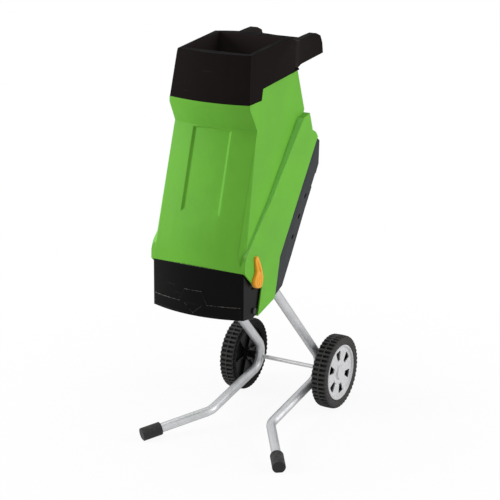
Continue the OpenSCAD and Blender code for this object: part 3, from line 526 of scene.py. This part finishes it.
def painted_step_light(material, colour):
    """Paints light on the tower-to-slab step, a painted highlight where a fillet would catch more light.

    The step is known by a normal that looks about half way up, and by its place on the flanks.
    """
    flank_start, rise_start, rise_end = (0.090, 0.100), (0.45, 0.60), (0.90, 0.80)
    tree, socket, tone = base_tone(material)
    upward = split(tree, surface_normal(tree))["Z"]
    aside = math_node(tree, "ABSOLUTE", split(tree, object_place(tree))["X"])
    flank = ranged(tree, aside, *flank_start)
    # Painted light: the step's faces that look half way up are made paler.
    step = product(tree, ranged(tree, upward, *rise_start), ranged(tree, upward, *rise_end), flank)
    tree.links.new(mixed(tree, step, tone, paled(colour, 1.30, 0.08)), socket)


def painted_mouth_shading(material, colour):
    """Paints shade onto the hopper's rim, which looks up, and paints light onto the walls of its mouth.

    The rim is known by its upward normal, and the walls by a normal that looks back to the mouth's middle.
    """
    rim_painted_shade, rim_rise = 0.25, (0.30, 0.90)
    wall_painted_shading, wall_turn = 2.2, (-0.005, -0.03)
    tree, socket, tone = base_tone(material)
    normal = surface_normal(tree)
    low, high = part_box("feed_chute")
    middle = (0.0, (low[1] + high[1]) / 2.0, high[2])
    from_middle = vector_node(tree, "SUBTRACT", object_place(tree), middle)
    outward = vector_node(tree, "DOT_PRODUCT", from_middle, normal)
    rim = ranged(tree, split(tree, normal)["Z"], *rim_rise)
    wall = ranged(tree, outward, *wall_turn)
    # Painted shade on the upward rim, then painted light on the walls of the mouth, which lie in shade.
    tone = mixed(tree, rim, tone, shade(colour, rim_painted_shade))
    tree.links.new(mixed(tree, wall, tone, shade(colour, wall_painted_shading)), socket)


def painted_tyre_shade(material, colour):
    """Paints shade: makes the pits and the inner walls black, and keeps the tread and outer walls greyed.

    The pits are known by their distance from the axle line, and the inner walls by the product of the place
    across the machine and the way that the surface faces.
    """
    wall_painted_shading, wall_turn = 0.12, (-0.09, -0.04)
    pit_painted_shade, pit_start, pit_floor = 0.22, 0.0012, 0.0030
    tread_start, tread_end = 0.0030, 0.0045
    tree, socket, tone = base_tone(material)
    place = split(tree, object_place(tree))
    outward = product(tree, place["X"], split(tree, surface_normal(tree))["X"])
    # Painted shade: the inner walls, which face away from the light, are made near black.
    tone = mixed(tree, ranged(tree, outward, *wall_turn), shade(colour, wall_painted_shading), tone)
    centre, half = node_centre("tyre_left")
    behind = math_node(tree, "SUBTRACT", place["Y"], centre[1])
    above = math_node(tree, "SUBTRACT", place["Z"], centre[2])
    squares = math_node(tree, "ADD", product(tree, behind, behind), product(tree, above, above))
    distance = math_node(tree, "SQRT", squares)
    outwards = math_node(tree, "SUBTRACT", math_node(tree, "ABSOLUTE", place["X"]), abs(centre[0]))
    sideways = math_node(tree, "ABSOLUTE", outwards)
    tread = ranged(tree, sideways, half[0] - tread_start, half[0] - tread_end)
    sunk = ranged(tree, distance, half[2] - pit_start, half[2] - pit_floor)
    pit = product(tree, sunk, tread)
    # Painted shade: the pits between the tread bars are made dark.
    tree.links.new(mixed(tree, pit, tone, shade(colour, pit_painted_shade)), socket)


PLASTIC_COLUMNS = ("smooth", "rough", "grain", "depth", "dust", "marks", "rub", "specular", "rounding")
PLASTICS = {
    "green moulding": (0.46, 0.56, 850.0, 0.00012, 0.020, 0.30, 0.25, 0.100, 0.0029),
    "black moulding": (0.40, 0.52, 700.0, 0.00016, 0.005, 0.12, 0.02, 0.004, 0.0029),
    # Flap: dust paints highlights on the relief's upward faces; edge rub is wear plus painted highlight.
    "flap moulding": (0.28, 0.36, 800.0, 0.00010, 0.800, 0.20, 0.15, 0.070, 0.0014),
    "grey moulding": (0.42, 0.55, 800.0, 0.00014, 0.020, 0.25, 0.12, 0.030, 0.0029),
    "orange moulding": (0.32, 0.42, 1100.0, 0.00008, 0.030, 0.25, 0.20, 0.250, 0.0),
    "silver moulding": (0.30, 0.40, 1200.0, 0.00005, 0.050, 0.30, 0.15, 0.500, 0.0),
    "tyre rubber": (0.66, 0.82, 1400.0, 0.00010, 0.030, 0.10, 0.10, 0.060, 0.0),
    "foot rubber": (0.60, 0.75, 1300.0, 0.00012, 0.080, 0.15, 0.20, 0.150, 0.0),
    "inner plastic": (0.34, 0.46, 900.0, 0.00012, 0.020, 0.20, 0.06, 0.100, 0.0),
    "button green": (0.28, 0.38, 1500.0, 0.00004, 0.020, 0.15, 0.10, 0.500, 0.0),
    "button red": (0.28, 0.38, 1500.0, 0.00004, 0.020, 0.15, 0.10, 0.500, 0.0),
    "mark white": (0.40, 0.50, 1500.0, 0.00003, 0.030, 0.10, 0.05, 0.500, 0.0),
}
METAL_COLUMNS = ("smooth", "rough", "metallic", "pits", "streaks", "dust", "rub", "flop")
METALS = {
    "stand paint": (0.34, 0.44, 0.40, 1500.0, 0.0, 0.02, 0.10, 0.45),
    "dark steel": (0.40, 0.52, 0.60, 900.0, 0.2, 0.02, 0.15, 1.0),
    "axle zinc": (0.40, 0.52, 0.70, 900.0, 0.5, 0.04, 0.20, 1.0),
    "bright steel": (0.24, 0.36, 1.00, 900.0, 0.5, 0.05, 0.25, 1.0),
    "knife steel": (0.26, 0.38, 1.00, 600.0, 0.9, 0.10, 0.35, 1.0),
    "cast alloy": (0.44, 0.60, 1.00, 420.0, 0.0, 0.12, 0.30, 1.0),
    "lamination": (0.42, 0.56, 1.00, 600.0, 0.8, 0.12, 0.20, 1.0),
    "copper": (0.28, 0.42, 1.00, 800.0, 0.5, 0.06, 0.25, 1.0),
    "brass": (0.26, 0.38, 1.00, 900.0, 0.4, 0.05, 0.25, 1.0),
}
USER_COLOURS = {
    "green moulding": "green",
    "black moulding": "black",
    "flap moulding": "flap",
    "grey moulding": "grey",
    "orange moulding": "orange",
    "silver moulding": "silver",
    "tyre rubber": "tyre",
    "foot rubber": "foot",
    "stand paint": "tube",
}
FIXED_COLOURS = {
    "inner plastic": (0.008, 0.008, 0.009),
    "button green": (0.030, 0.260, 0.050),
    "button red": (0.520, 0.022, 0.018),
    "mark white": (0.700, 0.700, 0.690),
    "dark steel": (0.030, 0.030, 0.032),
    "axle zinc": (0.560, 0.560, 0.570),
    "bright steel": (0.600, 0.600, 0.610),
    "knife steel": (0.480, 0.480, 0.495),
    "cast alloy": (0.430, 0.430, 0.440),
    "lamination": (0.180, 0.180, 0.195),
    "copper": (0.640, 0.270, 0.130),
    "brass": (0.640, 0.450, 0.160),
}
# Finishes whose base colour gets painted light and shade: the step, the hopper's mouth and the tyres.
PAINTED_SHADING = {"green moulding": painted_step_light, "black moulding": painted_mouth_shading, "tyre rubber": painted_tyre_shade}


def finish(name):
    """The finish of that name, made on first use from its row of values."""
    found = bpy.data.materials.get(name)
    if found:
        return found
    if name in USER_COLOURS:
        colour = tuple(getattr(bpy.context.scene.shredder_colours, USER_COLOURS[name]))
    else:
        colour = FIXED_COLOURS[name]
    if name in METALS:
        return metal(name, colour, **dict(zip(METAL_COLUMNS, METALS[name])))
    material = moulded(name, colour, **dict(zip(PLASTIC_COLUMNS, PLASTICS[name])))
    if name in PAINTED_SHADING:
        PAINTED_SHADING[name](material, colour)
    return material


# Shapes worked out with arrays


def smooth_step(low, high, value):
    """Goes from 0 to 1 between two values without corners."""
    share = np.clip((value - low) / (high - low), 0.0, 1.0)
    return share * share * (3.0 - 2.0 * share)


def node_centre(name):
    """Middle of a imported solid's box, and half its sizes."""
    low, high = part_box(name)
    return np.array((low + high) / 2.0), np.array((high - low) / 2.0)


def node_corners(name):
    """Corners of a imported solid, one row each."""
    vertices = nodes[name].data.vertices
    places = np.empty(3 * len(vertices), np.float32)
    vertices.foreach_get("co", places)
    return places.reshape(-1, 3).astype(float)


def axis_frame(axis):
    """An axis of length one, and two directions at right angles to it and to each other."""
    axis = np.asarray(axis, float) / np.linalg.norm(axis)
    helper = np.array([0.0, 0.0, 1.0]) if abs(axis[2]) < 0.9 else np.array([1.0, 0.0, 0.0])
    side = np.cross(axis, helper)
    side = side / np.linalg.norm(side)
    return axis, side, np.cross(axis, side)


def placed(origin, *terms):
    """Points at an origin plus each amount times its direction."""
    points = np.asarray(origin, float)
    for amount, direction in terms:
        points = points + amount[..., None] * np.asarray(direction, float)
    return points.reshape(-1, 3)


def full_turn(steps):
    """Angles once around, without the last."""
    return np.linspace(0.0, 2.0 * math.pi, steps, endpoint=False)


def tyre_section(half, outer, inner):
    """Closed section of a tyre, as its places across and its radii.

    The tread has a slight crown and round shoulders, each wall has a bead and leans in, and the foot is flat.
    """
    shoulder, crown, lean_in = 0.0045, 0.0010, 0.0030
    bead_rise, bead_place, bead_width = 0.0009, 0.16, 0.05
    tread = np.linspace(shoulder - half, half - shoulder, 61)
    crowned = outer - crown * (tread / half) ** 2
    bend = np.linspace(0.0, math.pi / 2.0, 9)[1:]
    turn_out = half - shoulder + shoulder * np.sin(bend)
    turn_down = outer - shoulder + shoulder * np.cos(bend) - crown
    share = np.linspace(0.0, 1.0, 15)[1:]
    bead = bead_rise * np.exp(-(((share - bead_place) / bead_width) ** 2))
    wall = half - lean_in * share**3 + bead
    wall_down = outer - shoulder - share * (outer - shoulder - inner) - crown * (1.0 - share)
    foot = np.linspace(wall[-1], -wall[-1], 9)[1:-1]
    level = np.full(len(foot), inner)
    across = np.concatenate([tread, turn_out, wall, foot, -wall[::-1], -turn_out[::-1]])
    radius = np.concatenate([crowned, turn_down, wall_down, level, wall_down[::-1], turn_down[::-1]])
    return across[None, :], radius[None, :]


def tyre_surface(node, bars, depth):
    """Tyre: a section carried around the axle line, with its outer side sunk where the tread has pits.

    Two columns of pits part the cross bars, a narrow rib runs between the columns, and notches in line
    with the pits cut the shoulders. Each pit is a product of two smooth steps, across and around.
    """
    thickness, tread_layer = 0.022, 0.004
    column_place, column_half, slope = 0.0074, 0.0054, 0.0008
    notch_place, notch_share, notch_foot, notch_top = 0.0128, 0.65, 0.010, 0.005
    rows_per_bar, bar_edge = 12, (0.20, 0.30)
    steps = bars * rows_per_bar
    centre, half = node_centre(node)
    outer = half[2]
    across, radius = tyre_section(half[0], outer, outer - thickness)
    around = full_turn(steps)[:, None]
    place = np.abs((around * bars / (2.0 * math.pi)) % 1.0 - 0.5)
    pit_along = smooth_step(*bar_edge, place)
    column = 1.0 - smooth_step(column_half, column_half + slope, np.abs(np.abs(across) - column_place))
    notch = notch_share * smooth_step(notch_place, notch_place + slope, np.abs(across))
    notch = notch * smooth_step(outer - notch_foot, outer - notch_top, radius)
    sunk = np.maximum(column * (radius > outer - tread_layer), notch)
    radius = radius - depth * pit_along * sunk
    points = placed(
        centre,
        (across, (1.0, 0.0, 0.0)),
        (radius * np.cos(around), (0.0, 1.0, 0.0)),
        (radius * np.sin(around), (0.0, 0.0, 1.0)),
    )
    return points, grid_quads(steps, across.shape[1], True, True)


def turned_surface(profile, origin, axis):
    """A profile of (radius, height) pairs turned about an axis through the origin."""
    steps = 48
    axis, side, other = axis_frame(axis)
    angle = full_turn(steps)[:, None]
    radius, height = np.asarray(profile, float).T[:, None, :]
    points = placed(origin, (radius * np.cos(angle), side), (radius * np.sin(angle), other), (height, axis))
    return points, grid_quads(steps, len(profile), True, False)


def lever_outline(along, boss, reach):
    """Half the width of a latch lever and the middle of it, at places along it from the pivot.

    Below the pivot the outline is a half ellipse, wider to the front. Above it the rear edge falls by a root
    of the length, the front edge steps in to the slim arm, and both meet in a round tip.
    """
    front_boss, rear_boss, arm, arm_start = 0.0262, 0.0176, 0.0096, 0.022
    least, tip = 0.0022, 0.0050
    circle = np.sqrt(np.maximum(1.0 - (along / boss) ** 2, 0.0))
    run = np.clip(along / reach, 0.0, 1.0)
    rear_arm = np.maximum(rear_boss * np.sqrt(1.0 - run), least)
    front_arm = arm + (front_boss - arm) * (1.0 - smooth_step(0.0, arm_start, along))
    rear_edge = np.where(along < 0.0, rear_boss * circle, rear_arm)
    front_edge = np.where(along < 0.0, front_boss * circle, front_arm)
    round_tip = np.sqrt(1.0 - np.clip((along - reach + tip) / tip, 0.0, 1.0) ** 2)
    return (rear_edge + front_edge) / 2.0 * round_tip, (rear_edge - front_edge) / 2.0


def lever_surface(pivot, side, plate, blade):
    """Latch lever: a teardrop with a slim finger blade, drawn as a height over its own plane.

    The height is the plate with round shoulders, plus a blade that gets lower towards the tip and is cut by
    a slanting groove, plus a cosine of the place across for the grip ridges on the boss.
    """
    lean, boss, reach = math.radians(5.7), 0.0208, 0.0535
    groove_half, groove_slant, groove_middle, groove_depth = 0.0026, 0.26, 0.0153, 0.9
    groove_start, groove_end = (0.010, 0.018), (0.040, 0.048)
    grip_start, grip_end = (-0.019, -0.013), (0.004, 0.016)
    ridge_height, ridge_count, tip_fall, thin_half = 0.0006, 5.0, 0.72, 0.004
    rows, columns = 89, 97
    share = (1.0 - np.cos(np.linspace(0.0, math.pi, rows))) / 2.0
    along = (-boss + share * (boss + reach))[:, None]
    across = np.linspace(-1.0, 1.0, columns)[None, :]
    half, middle = lever_outline(along, boss, reach)
    sideways = middle + across * half
    shoulder = np.maximum(1.0 - np.abs(across) ** 5, 0.0) ** 0.4
    groove_line = groove_half - groove_slant * (along - groove_middle)
    groove = groove_depth * np.exp(-(((sideways - groove_line) / groove_half) ** 4))
    groove = groove * smooth_step(*groove_start, along) * (1.0 - smooth_step(*groove_end, along))
    grip = smooth_step(*grip_start, along) * (1.0 - smooth_step(*grip_end, along)) * (1.0 - across**4)
    ridges = ridge_height * grip * np.cos(ridge_count * math.pi * across)
    lower = 1.0 - tip_fall * smooth_step(0.0, reach, along)
    fade = smooth_step(0.0, thin_half, half)
    height = (plate + blade * lower * (1.0 - groove) + ridges) * shoulder * fade
    ring_height = np.concatenate([height, np.zeros_like(height)], axis=1)
    ring_side = np.concatenate([sideways, sideways[:, ::-1]], axis=1)
    points = placed(
        pivot,
        (ring_height, (side, 0.0, 0.0)),
        (ring_side, (0.0, math.cos(lean), math.sin(lean))),
        (along, (0.0, -math.sin(lean), math.cos(lean))),
    )
    return points, grid_quads(rows, 2 * columns, False, True)


def screw_head(origin, axis, radius, height, wing):
    """Pan head with a cross recess: a dome over a disc that sinks where two crossing bars run.

    The dome's height falls with the square of the radius, the rim is a quarter round, and the recess
    goes down by about half the height where the point lies within either bar.
    """
    dome_fall, recess_share, recess_end, bar_floor = 0.30, 0.55, (0.52, 0.60), 0.7
    turns, rings = 64, 22
    axis, side, other = axis_frame(axis)
    angle = full_turn(turns)[:, None]
    share = np.linspace(0.0, 1.0, rings)[None, :]
    first = radius * share * np.cos(angle)
    second = radius * share * np.sin(angle)
    dome = height * (1.0 - dome_fall * share**2) * np.maximum(1.0 - share**10, 0.0) ** 0.5
    bar = np.minimum(np.abs(first), np.abs(second))
    recess = (1.0 - smooth_step(bar_floor * wing, wing, bar)) * (1.0 - smooth_step(*recess_end, share))
    rise = dome - recess_share * height * recess
    points = placed(origin, (first, side), (second, other), (rise, axis))
    return points, grid_quads(turns, rings, True, False)


MARK_RISE = 0.0005
MARK_SIDE = np.array([1.0, 0.0, 0.0])


def bar_mark(origin, normal, size):
    """Upright bar: a long rounded block whose section is a flat oval carried along a short path."""
    rings, turns, half_width = 25, 24, 0.13 * size
    angle = full_turn(turns)[None, :]
    share = np.linspace(-1.0, 1.0, rings)[:, None]
    fall = np.maximum(1.0 - np.abs(share) ** 12, 0.0) ** 0.5
    points = placed(
        origin,
        (half_width * fall * np.cos(angle), MARK_SIDE),
        (0.5 * size * share, np.cross(normal, MARK_SIDE)),
        (MARK_RISE * fall * np.sin(angle), normal),
    )
    return points, grid_quads(rings, turns, False, True)


def ring_mark(origin, normal, size):
    """Ring: a flat oval section carried around a circle."""
    turns, sides, ring_radius, half_width = 48, 16, 0.40 * size, 0.10 * size
    around = full_turn(turns)[:, None]
    angle = full_turn(sides)[None, :]
    radius = ring_radius + half_width * np.cos(angle)
    points = placed(
        origin,
        (radius * np.cos(around), MARK_SIDE),
        (radius * np.sin(around), np.cross(normal, MARK_SIDE)),
        (MARK_RISE * np.sin(angle), normal),
    )
    return points, grid_quads(turns, sides, True, True)


# Operators, one for each piece or group of like pieces


class SHREDDER_OT_mouldings(Operator):
    """Housing, hopper and rear cover with softened edges and moulded finishes"""

    bl_idname = "shredder.mouldings"
    bl_label = "Body mouldings"

    def execute(self, context):
        edge = context.scene.shredder_sizes.body_edge
        soft_copy("main_housing", "housing_moulding", edge, 3, finish("green moulding"))
        soft_copy("hopper", "hopper_moulding", edge, 3, finish("black moulding"))
        soft_copy("rear_cover", "rear_cover_moulding", edge, 3, finish("grey moulding"))
        return {"FINISHED"}


class SHREDDER_OT_flap(Operator):
    """Discharge flap with softened edges"""

    bl_idname = "shredder.flap"
    bl_label = "Discharge flap"

    def execute(self, context):
        edge = context.scene.shredder_sizes.small_edge
        soft_copy("discharge_flap", "flap_moulding", edge, 2, finish("flap moulding"))
        return {"FINISHED"}


class SHREDDER_OT_latches(Operator):
    """Orange latch levers with their finger blades and spindles"""

    bl_idname = "shredder.latches"
    bl_label = "Latch levers"

    def execute(self, context):
        sizes = context.scene.shredder_sizes
        spindle_radius, chamfer, overlap = 0.006, 0.0008, 0.0002
        for label, side in (("left", -1.0), ("right", 1.0)):
            node = "latch_lever_" + label
            low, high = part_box(node)
            outer, inner = (high[0], low[0]) if side > 0 else (low[0], high[0])
            pivot = np.array(joint_of["lever_" + label]["pos_m"], float)
            pivot[0] = outer - side * (sizes.plate_height + sizes.blade_height)
            lever = lever_surface(pivot, side, sizes.plate_height, sizes.blade_height)
            depth = abs(pivot[0] - inner)
            spindle = turned_surface(
                [
                    (0.0, -depth),
                    (spindle_radius - chamfer, -depth),
                    (spindle_radius, -depth + chamfer),
                    (spindle_radius, overlap),
                    (0.0, overlap),
                ],
                pivot,
                (side, 0.0, 0.0),
            )
            points, quads = joined([lever, spindle])
            coat = finish("orange moulding")
            mesh_piece("latch_" + label, points, quads, body_of[node], coat, (node,))
        paint(finish("inner plastic"), "latch_cam_left", "latch_cam_right")
        return {"FINISHED"}


class SHREDDER_OT_tyres(Operator):
    """Tyres with two columns of tread pits and notched shoulders"""

    bl_idname = "shredder.tyres"
    bl_label = "Tyres"

    def execute(self, context):
        sizes = context.scene.shredder_sizes
        crease = 32.0
        for label in ("left", "right"):
            node = "tyre_" + label
            points, quads = tyre_surface(node, sizes.tread_bars, sizes.tread_depth)
            coat = finish("tyre rubber")
            mesh_piece("tread_" + node, points, quads, body_of[node], coat, (node,), crease)
        return {"FINISHED"}


class SHREDDER_OT_wheels(Operator):
    """Wheel covers and rims with softened edges, and the axle with its spacers and clips"""

    bl_idname = "shredder.wheels"
    bl_label = "Wheels and axle"

    def execute(self, context):
        edge = context.scene.shredder_sizes.small_edge
        for label in ("left", "right"):
            soft_copy("wheel_cover_" + label, "hub_cover_" + label, edge, 2, finish("silver moulding"))
            soft_copy("wheel_rim_" + label, "hub_rim_" + label, edge, 2, finish("inner plastic"))
        paint(finish("axle zinc"), "axle", "axle_clips")
        paint(finish("inner plastic"), "axle_spacers")
        return {"FINISHED"}


class SHREDDER_OT_stand(Operator):
    """Painted stand tubes, rubber foot caps and the bracket in the housing"""

    bl_idname = "shredder.stand"
    bl_label = "Stand"

    def execute(self, context):
        cap_edge = 0.002
        paint(finish("stand paint"), "stand_tube_left", "stand_tube_right")
        for label in ("left", "right"):
            soft_copy("foot_cap_" + label, "rubber_foot_" + label, cap_edge, 3, finish("foot rubber"))
        paint(finish("cast alloy"), "stand_bracket")
        paint(finish("bright steel"), "stand_screws")
        return {"FINISHED"}


class SHREDDER_OT_switchgear(Operator):
    """Switch plate, push buttons with their marks, and the mains inlet"""

    bl_idname = "shredder.switchgear"
    bl_label = "Switch and inlet"

    def execute(self, context):
        sizes = context.scene.shredder_sizes
        edge = sizes.small_edge
        soft_copy("switch_plate", "switch_panel", edge, 2, finish("inner plastic"))
        soft_copy("mains_inlet", "inlet_socket", edge, 2, finish("inner plastic"))
        soft_copy("on_button", "on_cap", edge, 3, finish("button green"))
        soft_copy("off_button", "off_cap", edge, 3, finish("button red"))
        soft_copy("reset_button", "reset_cap", edge, 3, finish("inner plastic"))
        paint(finish("brass"), "inlet_pins")
        for body, node, shape in (("on_push", "on_button", bar_mark), ("off_push", "off_button", ring_mark)):
            normal = -np.array(joint_of[body]["axis"], float)
            corners = node_corners(node)
            middle = corners.mean(axis=0)
            top = (corners @ normal).max()
            face = middle + normal * (top - middle @ normal)
            points, quads = shape(face, normal, sizes.mark_size)
            mesh_piece(node + "_mark", points, quads, body, finish("mark white"))
        return {"FINISHED"}


class SHREDDER_OT_fasteners(Operator):
    """Screws of the covers, the hopper and the flap hinge, with recessed heads on the hinge screws"""

    bl_idname = "shredder.fasteners"
    bl_label = "Fasteners"

    def execute(self, context):
        head_radius, head_height, wing, overlap = 0.0066, 0.0012, 0.0011, 0.0001
        node = "flap_hinge_screws"
        paint(finish("bright steel"), "hopper_screws", "cover_screws")
        paint(finish("dark steel"), node)
        low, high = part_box(node)
        middle = (low + high) / 2.0
        heads = []
        for face, side in ((high[0], 1.0), (low[0], -1.0)):
            origin = (face - side * overlap, middle[1], middle[2])
            heads.append(screw_head(origin, (side, 0.0, 0.0), head_radius, head_height, wing))
        points, quads = joined(heads)
        mesh_piece("hinge_screw_heads", points, quads, body_of[node], finish("dark steel"))
        return {"FINISHED"}


class SHREDDER_OT_works(Operator):
    """Cutter, motor, ducts and switch inside the mouldings"""

    bl_idname = "shredder.works"
    bl_label = "Cutter and motor"

    def execute(self, context):
        paint(finish("inner plastic"), "feed_chute", "discharge_duct", "cooling_fan", "safety_switch")
        paint(finish("cast alloy"), "cutter_plate", "bearing_bracket")
        paint(finish("knife steel"), "counter_knife", "cutting_disc", "knives")
        paint(finish("bright steel"), "knife_screws", "disc_bolt", "motor_screws")
        paint(finish("bright steel"), "front_bearing", "rear_bearing")
        paint(finish("lamination"), "motor_case", "armature")
        paint(finish("copper"), "commutator", "motor_stator")
        paint(finish("brass"), "brush_holders")
        return {"FINISHED"}


def soft_light(name, place, target, width, height, power):
    """A rectangular lamp that looks at a target."""
    lamp = bpy.data.lights.new(name, "AREA")
    lamp.shape = "RECTANGLE"
    lamp.size = width
    lamp.size_y = height
    lamp.energy = power
    light = bpy.data.objects.new(name, lamp)
    light.location = place
    light.rotation_euler = (Vector(target) - Vector(place)).to_track_quat("-Z", "Y").to_euler()
    bpy.context.scene.collection.objects.link(light)


def shown_as_white(tree):
    """One for rays that see a surface directly, in a mirror or through glass."""
    path = tree.nodes.new("ShaderNodeLightPath")
    seen = math_node(tree, "MAXIMUM", path.outputs["Is Camera Ray"], path.outputs["Is Glossy Ray"])
    return math_node(tree, "MAXIMUM", seen, path.outputs["Is Transmission Ray"])


class SHREDDER_OT_stage(Operator):
    """Pale floor, soft studio light, white background and the camera"""

    bl_idname = "shredder.stage"
    bl_label = "Stage"

    def execute(self, context):
        scene = context.scene
        stage = scene.shredder_stage
        self.floor(scene)
        self.background(scene)
        aim = (0.0, 0.0, 0.50)
        soft_light("Left softbox", (-2.6, -1.6, 1.6), aim, width=1.5, height=1.8, power=74.0)
        soft_light("Right softbox", (2.5, 1.1, 1.2), aim, width=1.5, height=1.8, power=48.0)
        soft_light("Top softbox", (0.0, -0.3, 2.9), aim, width=1.6, height=1.6, power=17.0)
        lens = bpy.data.cameras.new("Camera")
        lens.sensor_width = 36.0
        lens.lens = stage.lens
        lens.clip_end = 50.0
        camera = bpy.data.objects.new("Camera", lens)
        scene.collection.objects.link(camera)
        camera.matrix_world = self.view(stage)
        scene.camera = camera
        scene.view_settings.view_transform = "Standard"
        return {"FINISHED"}

    @staticmethod
    def view(stage):
        """The camera's place and turn, from its azimuth, elevation and roll."""
        turn, rise, roll = stage.azimuth, stage.elevation, stage.roll
        back = Vector((math.sin(turn) * math.cos(rise), -math.cos(turn) * math.cos(rise), math.sin(rise)))
        right = Vector((math.cos(turn), math.sin(turn), 0.0))
        up = back.cross(right)
        right_rolled = right * math.cos(roll) + up * math.sin(roll)
        up_rolled = up * math.cos(roll) - right * math.sin(roll)
        columns = Matrix((right_rolled, up_rolled, back)).transposed()
        return Matrix.Translation(Vector(stage.eye)) @ columns.to_4x4()

    @staticmethod
    def floor(scene):
        """A wide pale floor that shows near white and keeps the soft shadow."""
        half_side, sunk, count = 9.0, 0.0002, 7
        near, far, near_white = 0.25, 1.0, 0.92
        material, tree, shader = empty_material("floor paper")
        shader.inputs["Base Color"].default_value = (0.88, 0.88, 0.88, 1.0)
        shader.inputs["Roughness"].default_value = 0.9
        grain = noise_value(tree, object_place(tree), 60.0, 3.0)
        bump(tree, shader, grain, 0.05, 0.0005)
        glow = tree.nodes.new("ShaderNodeEmission")
        glow.inputs["Color"].default_value = (1.0, 1.0, 1.0, 1.0)
        blend = tree.nodes.new("ShaderNodeMixShader")
        reach = vector_node(tree, "LENGTH", object_place(tree))
        whiteness = ranged(tree, reach, near, far, near_white, 1.0)
        share = product(tree, shown_as_white(tree), whiteness)
        tree.links.new(share, blend.inputs["Fac"])
        tree.links.new(shader.outputs["BSDF"], blend.inputs[1])
        tree.links.new(glow.outputs["Emission"], blend.inputs[2])
        tree.links.new(blend.outputs["Shader"], tree.nodes["Material Output"].inputs["Surface"])
        side = np.linspace(-half_side, half_side, count)
        across, along = np.meshgrid(side, side, indexing="ij")
        points = np.stack([across, along, np.full_like(across, -sunk)], axis=-1).reshape(-1, 3)
        mesh = bpy.data.meshes.new("floor")
        mesh.from_pydata(points.tolist(), [], grid_quads(count, count).tolist())
        mesh.materials.append(material)
        plane = bpy.data.objects.new("floor", mesh)
        scene.collection.objects.link(plane)

    @staticmethod
    def background(scene):
        """A white world for what is seen, and a dimmer even light for what is lit."""
        even_light = 0.26
        world = bpy.data.worlds.new("Studio")
        world.use_nodes = True
        tree = world.node_tree
        base = tree.nodes["Background"]
        level = ranged(tree, shown_as_white(tree), 0.0, 1.0, even_light, 1.0)
        base.inputs["Color"].default_value = (1.0, 1.0, 1.0, 1.0)
        tree.links.new(level, base.inputs["Strength"])
        scene.world = world


class SHREDDER_PT_looks(Panel):
    """Lists the values and the pieces of the looks in the sidebar"""

    bl_idname = "SHREDDER_PT_looks"
    bl_label = "Garden shredder"
    bl_space_type = "VIEW_3D"
    bl_region_type = "UI"
    bl_category = "Shredder"

    def draw(self, context):
        layout = self.layout
        scene = context.scene
        for group in (scene.shredder_sizes, scene.shredder_colours, scene.shredder_stage):
            box = layout.box()
            for name in group.__annotations__:
                box.prop(group, name)
        for operator in PIECE_OPERATORS:
            layout.operator(operator.bl_idname)


PIECE_OPERATORS = (
    SHREDDER_OT_stage,
    SHREDDER_OT_mouldings,
    SHREDDER_OT_flap,
    SHREDDER_OT_latches,
    SHREDDER_OT_tyres,
    SHREDDER_OT_wheels,
    SHREDDER_OT_stand,
    SHREDDER_OT_switchgear,
    SHREDDER_OT_fasteners,
    SHREDDER_OT_works,
)
PROPERTY_GROUPS = (ShredderSizes, ShredderColours, ShredderStage)


def register():
    """Registers the classes and gives the scene its property groups."""
    for cls in PROPERTY_GROUPS + PIECE_OPERATORS + (SHREDDER_PT_looks,):
        bpy.utils.register_class(cls)
    bpy.types.Scene.shredder_sizes = PointerProperty(type=ShredderSizes)
    bpy.types.Scene.shredder_colours = PointerProperty(type=ShredderColours)
    bpy.types.Scene.shredder_stage = PointerProperty(type=ShredderStage)


def unregister():
    """Takes away what register added."""
    del bpy.types.Scene.shredder_sizes
    del bpy.types.Scene.shredder_colours
    del bpy.types.Scene.shredder_stage
    for cls in reversed(PROPERTY_GROUPS + PIECE_OPERATORS + (SHREDDER_PT_looks,)):
        bpy.utils.unregister_class(cls)


def main():
    """Builds every piece in order."""
    register()
    bpy.ops.shredder.stage()
    bpy.ops.shredder.mouldings()
    bpy.ops.shredder.flap()
    bpy.ops.shredder.latches()
    bpy.ops.shredder.tyres()
    bpy.ops.shredder.wheels()
    bpy.ops.shredder.stand()
    bpy.ops.shredder.switchgear()
    bpy.ops.shredder.fasteners()
    bpy.ops.shredder.works()


if __name__ == "__main__":
    main()
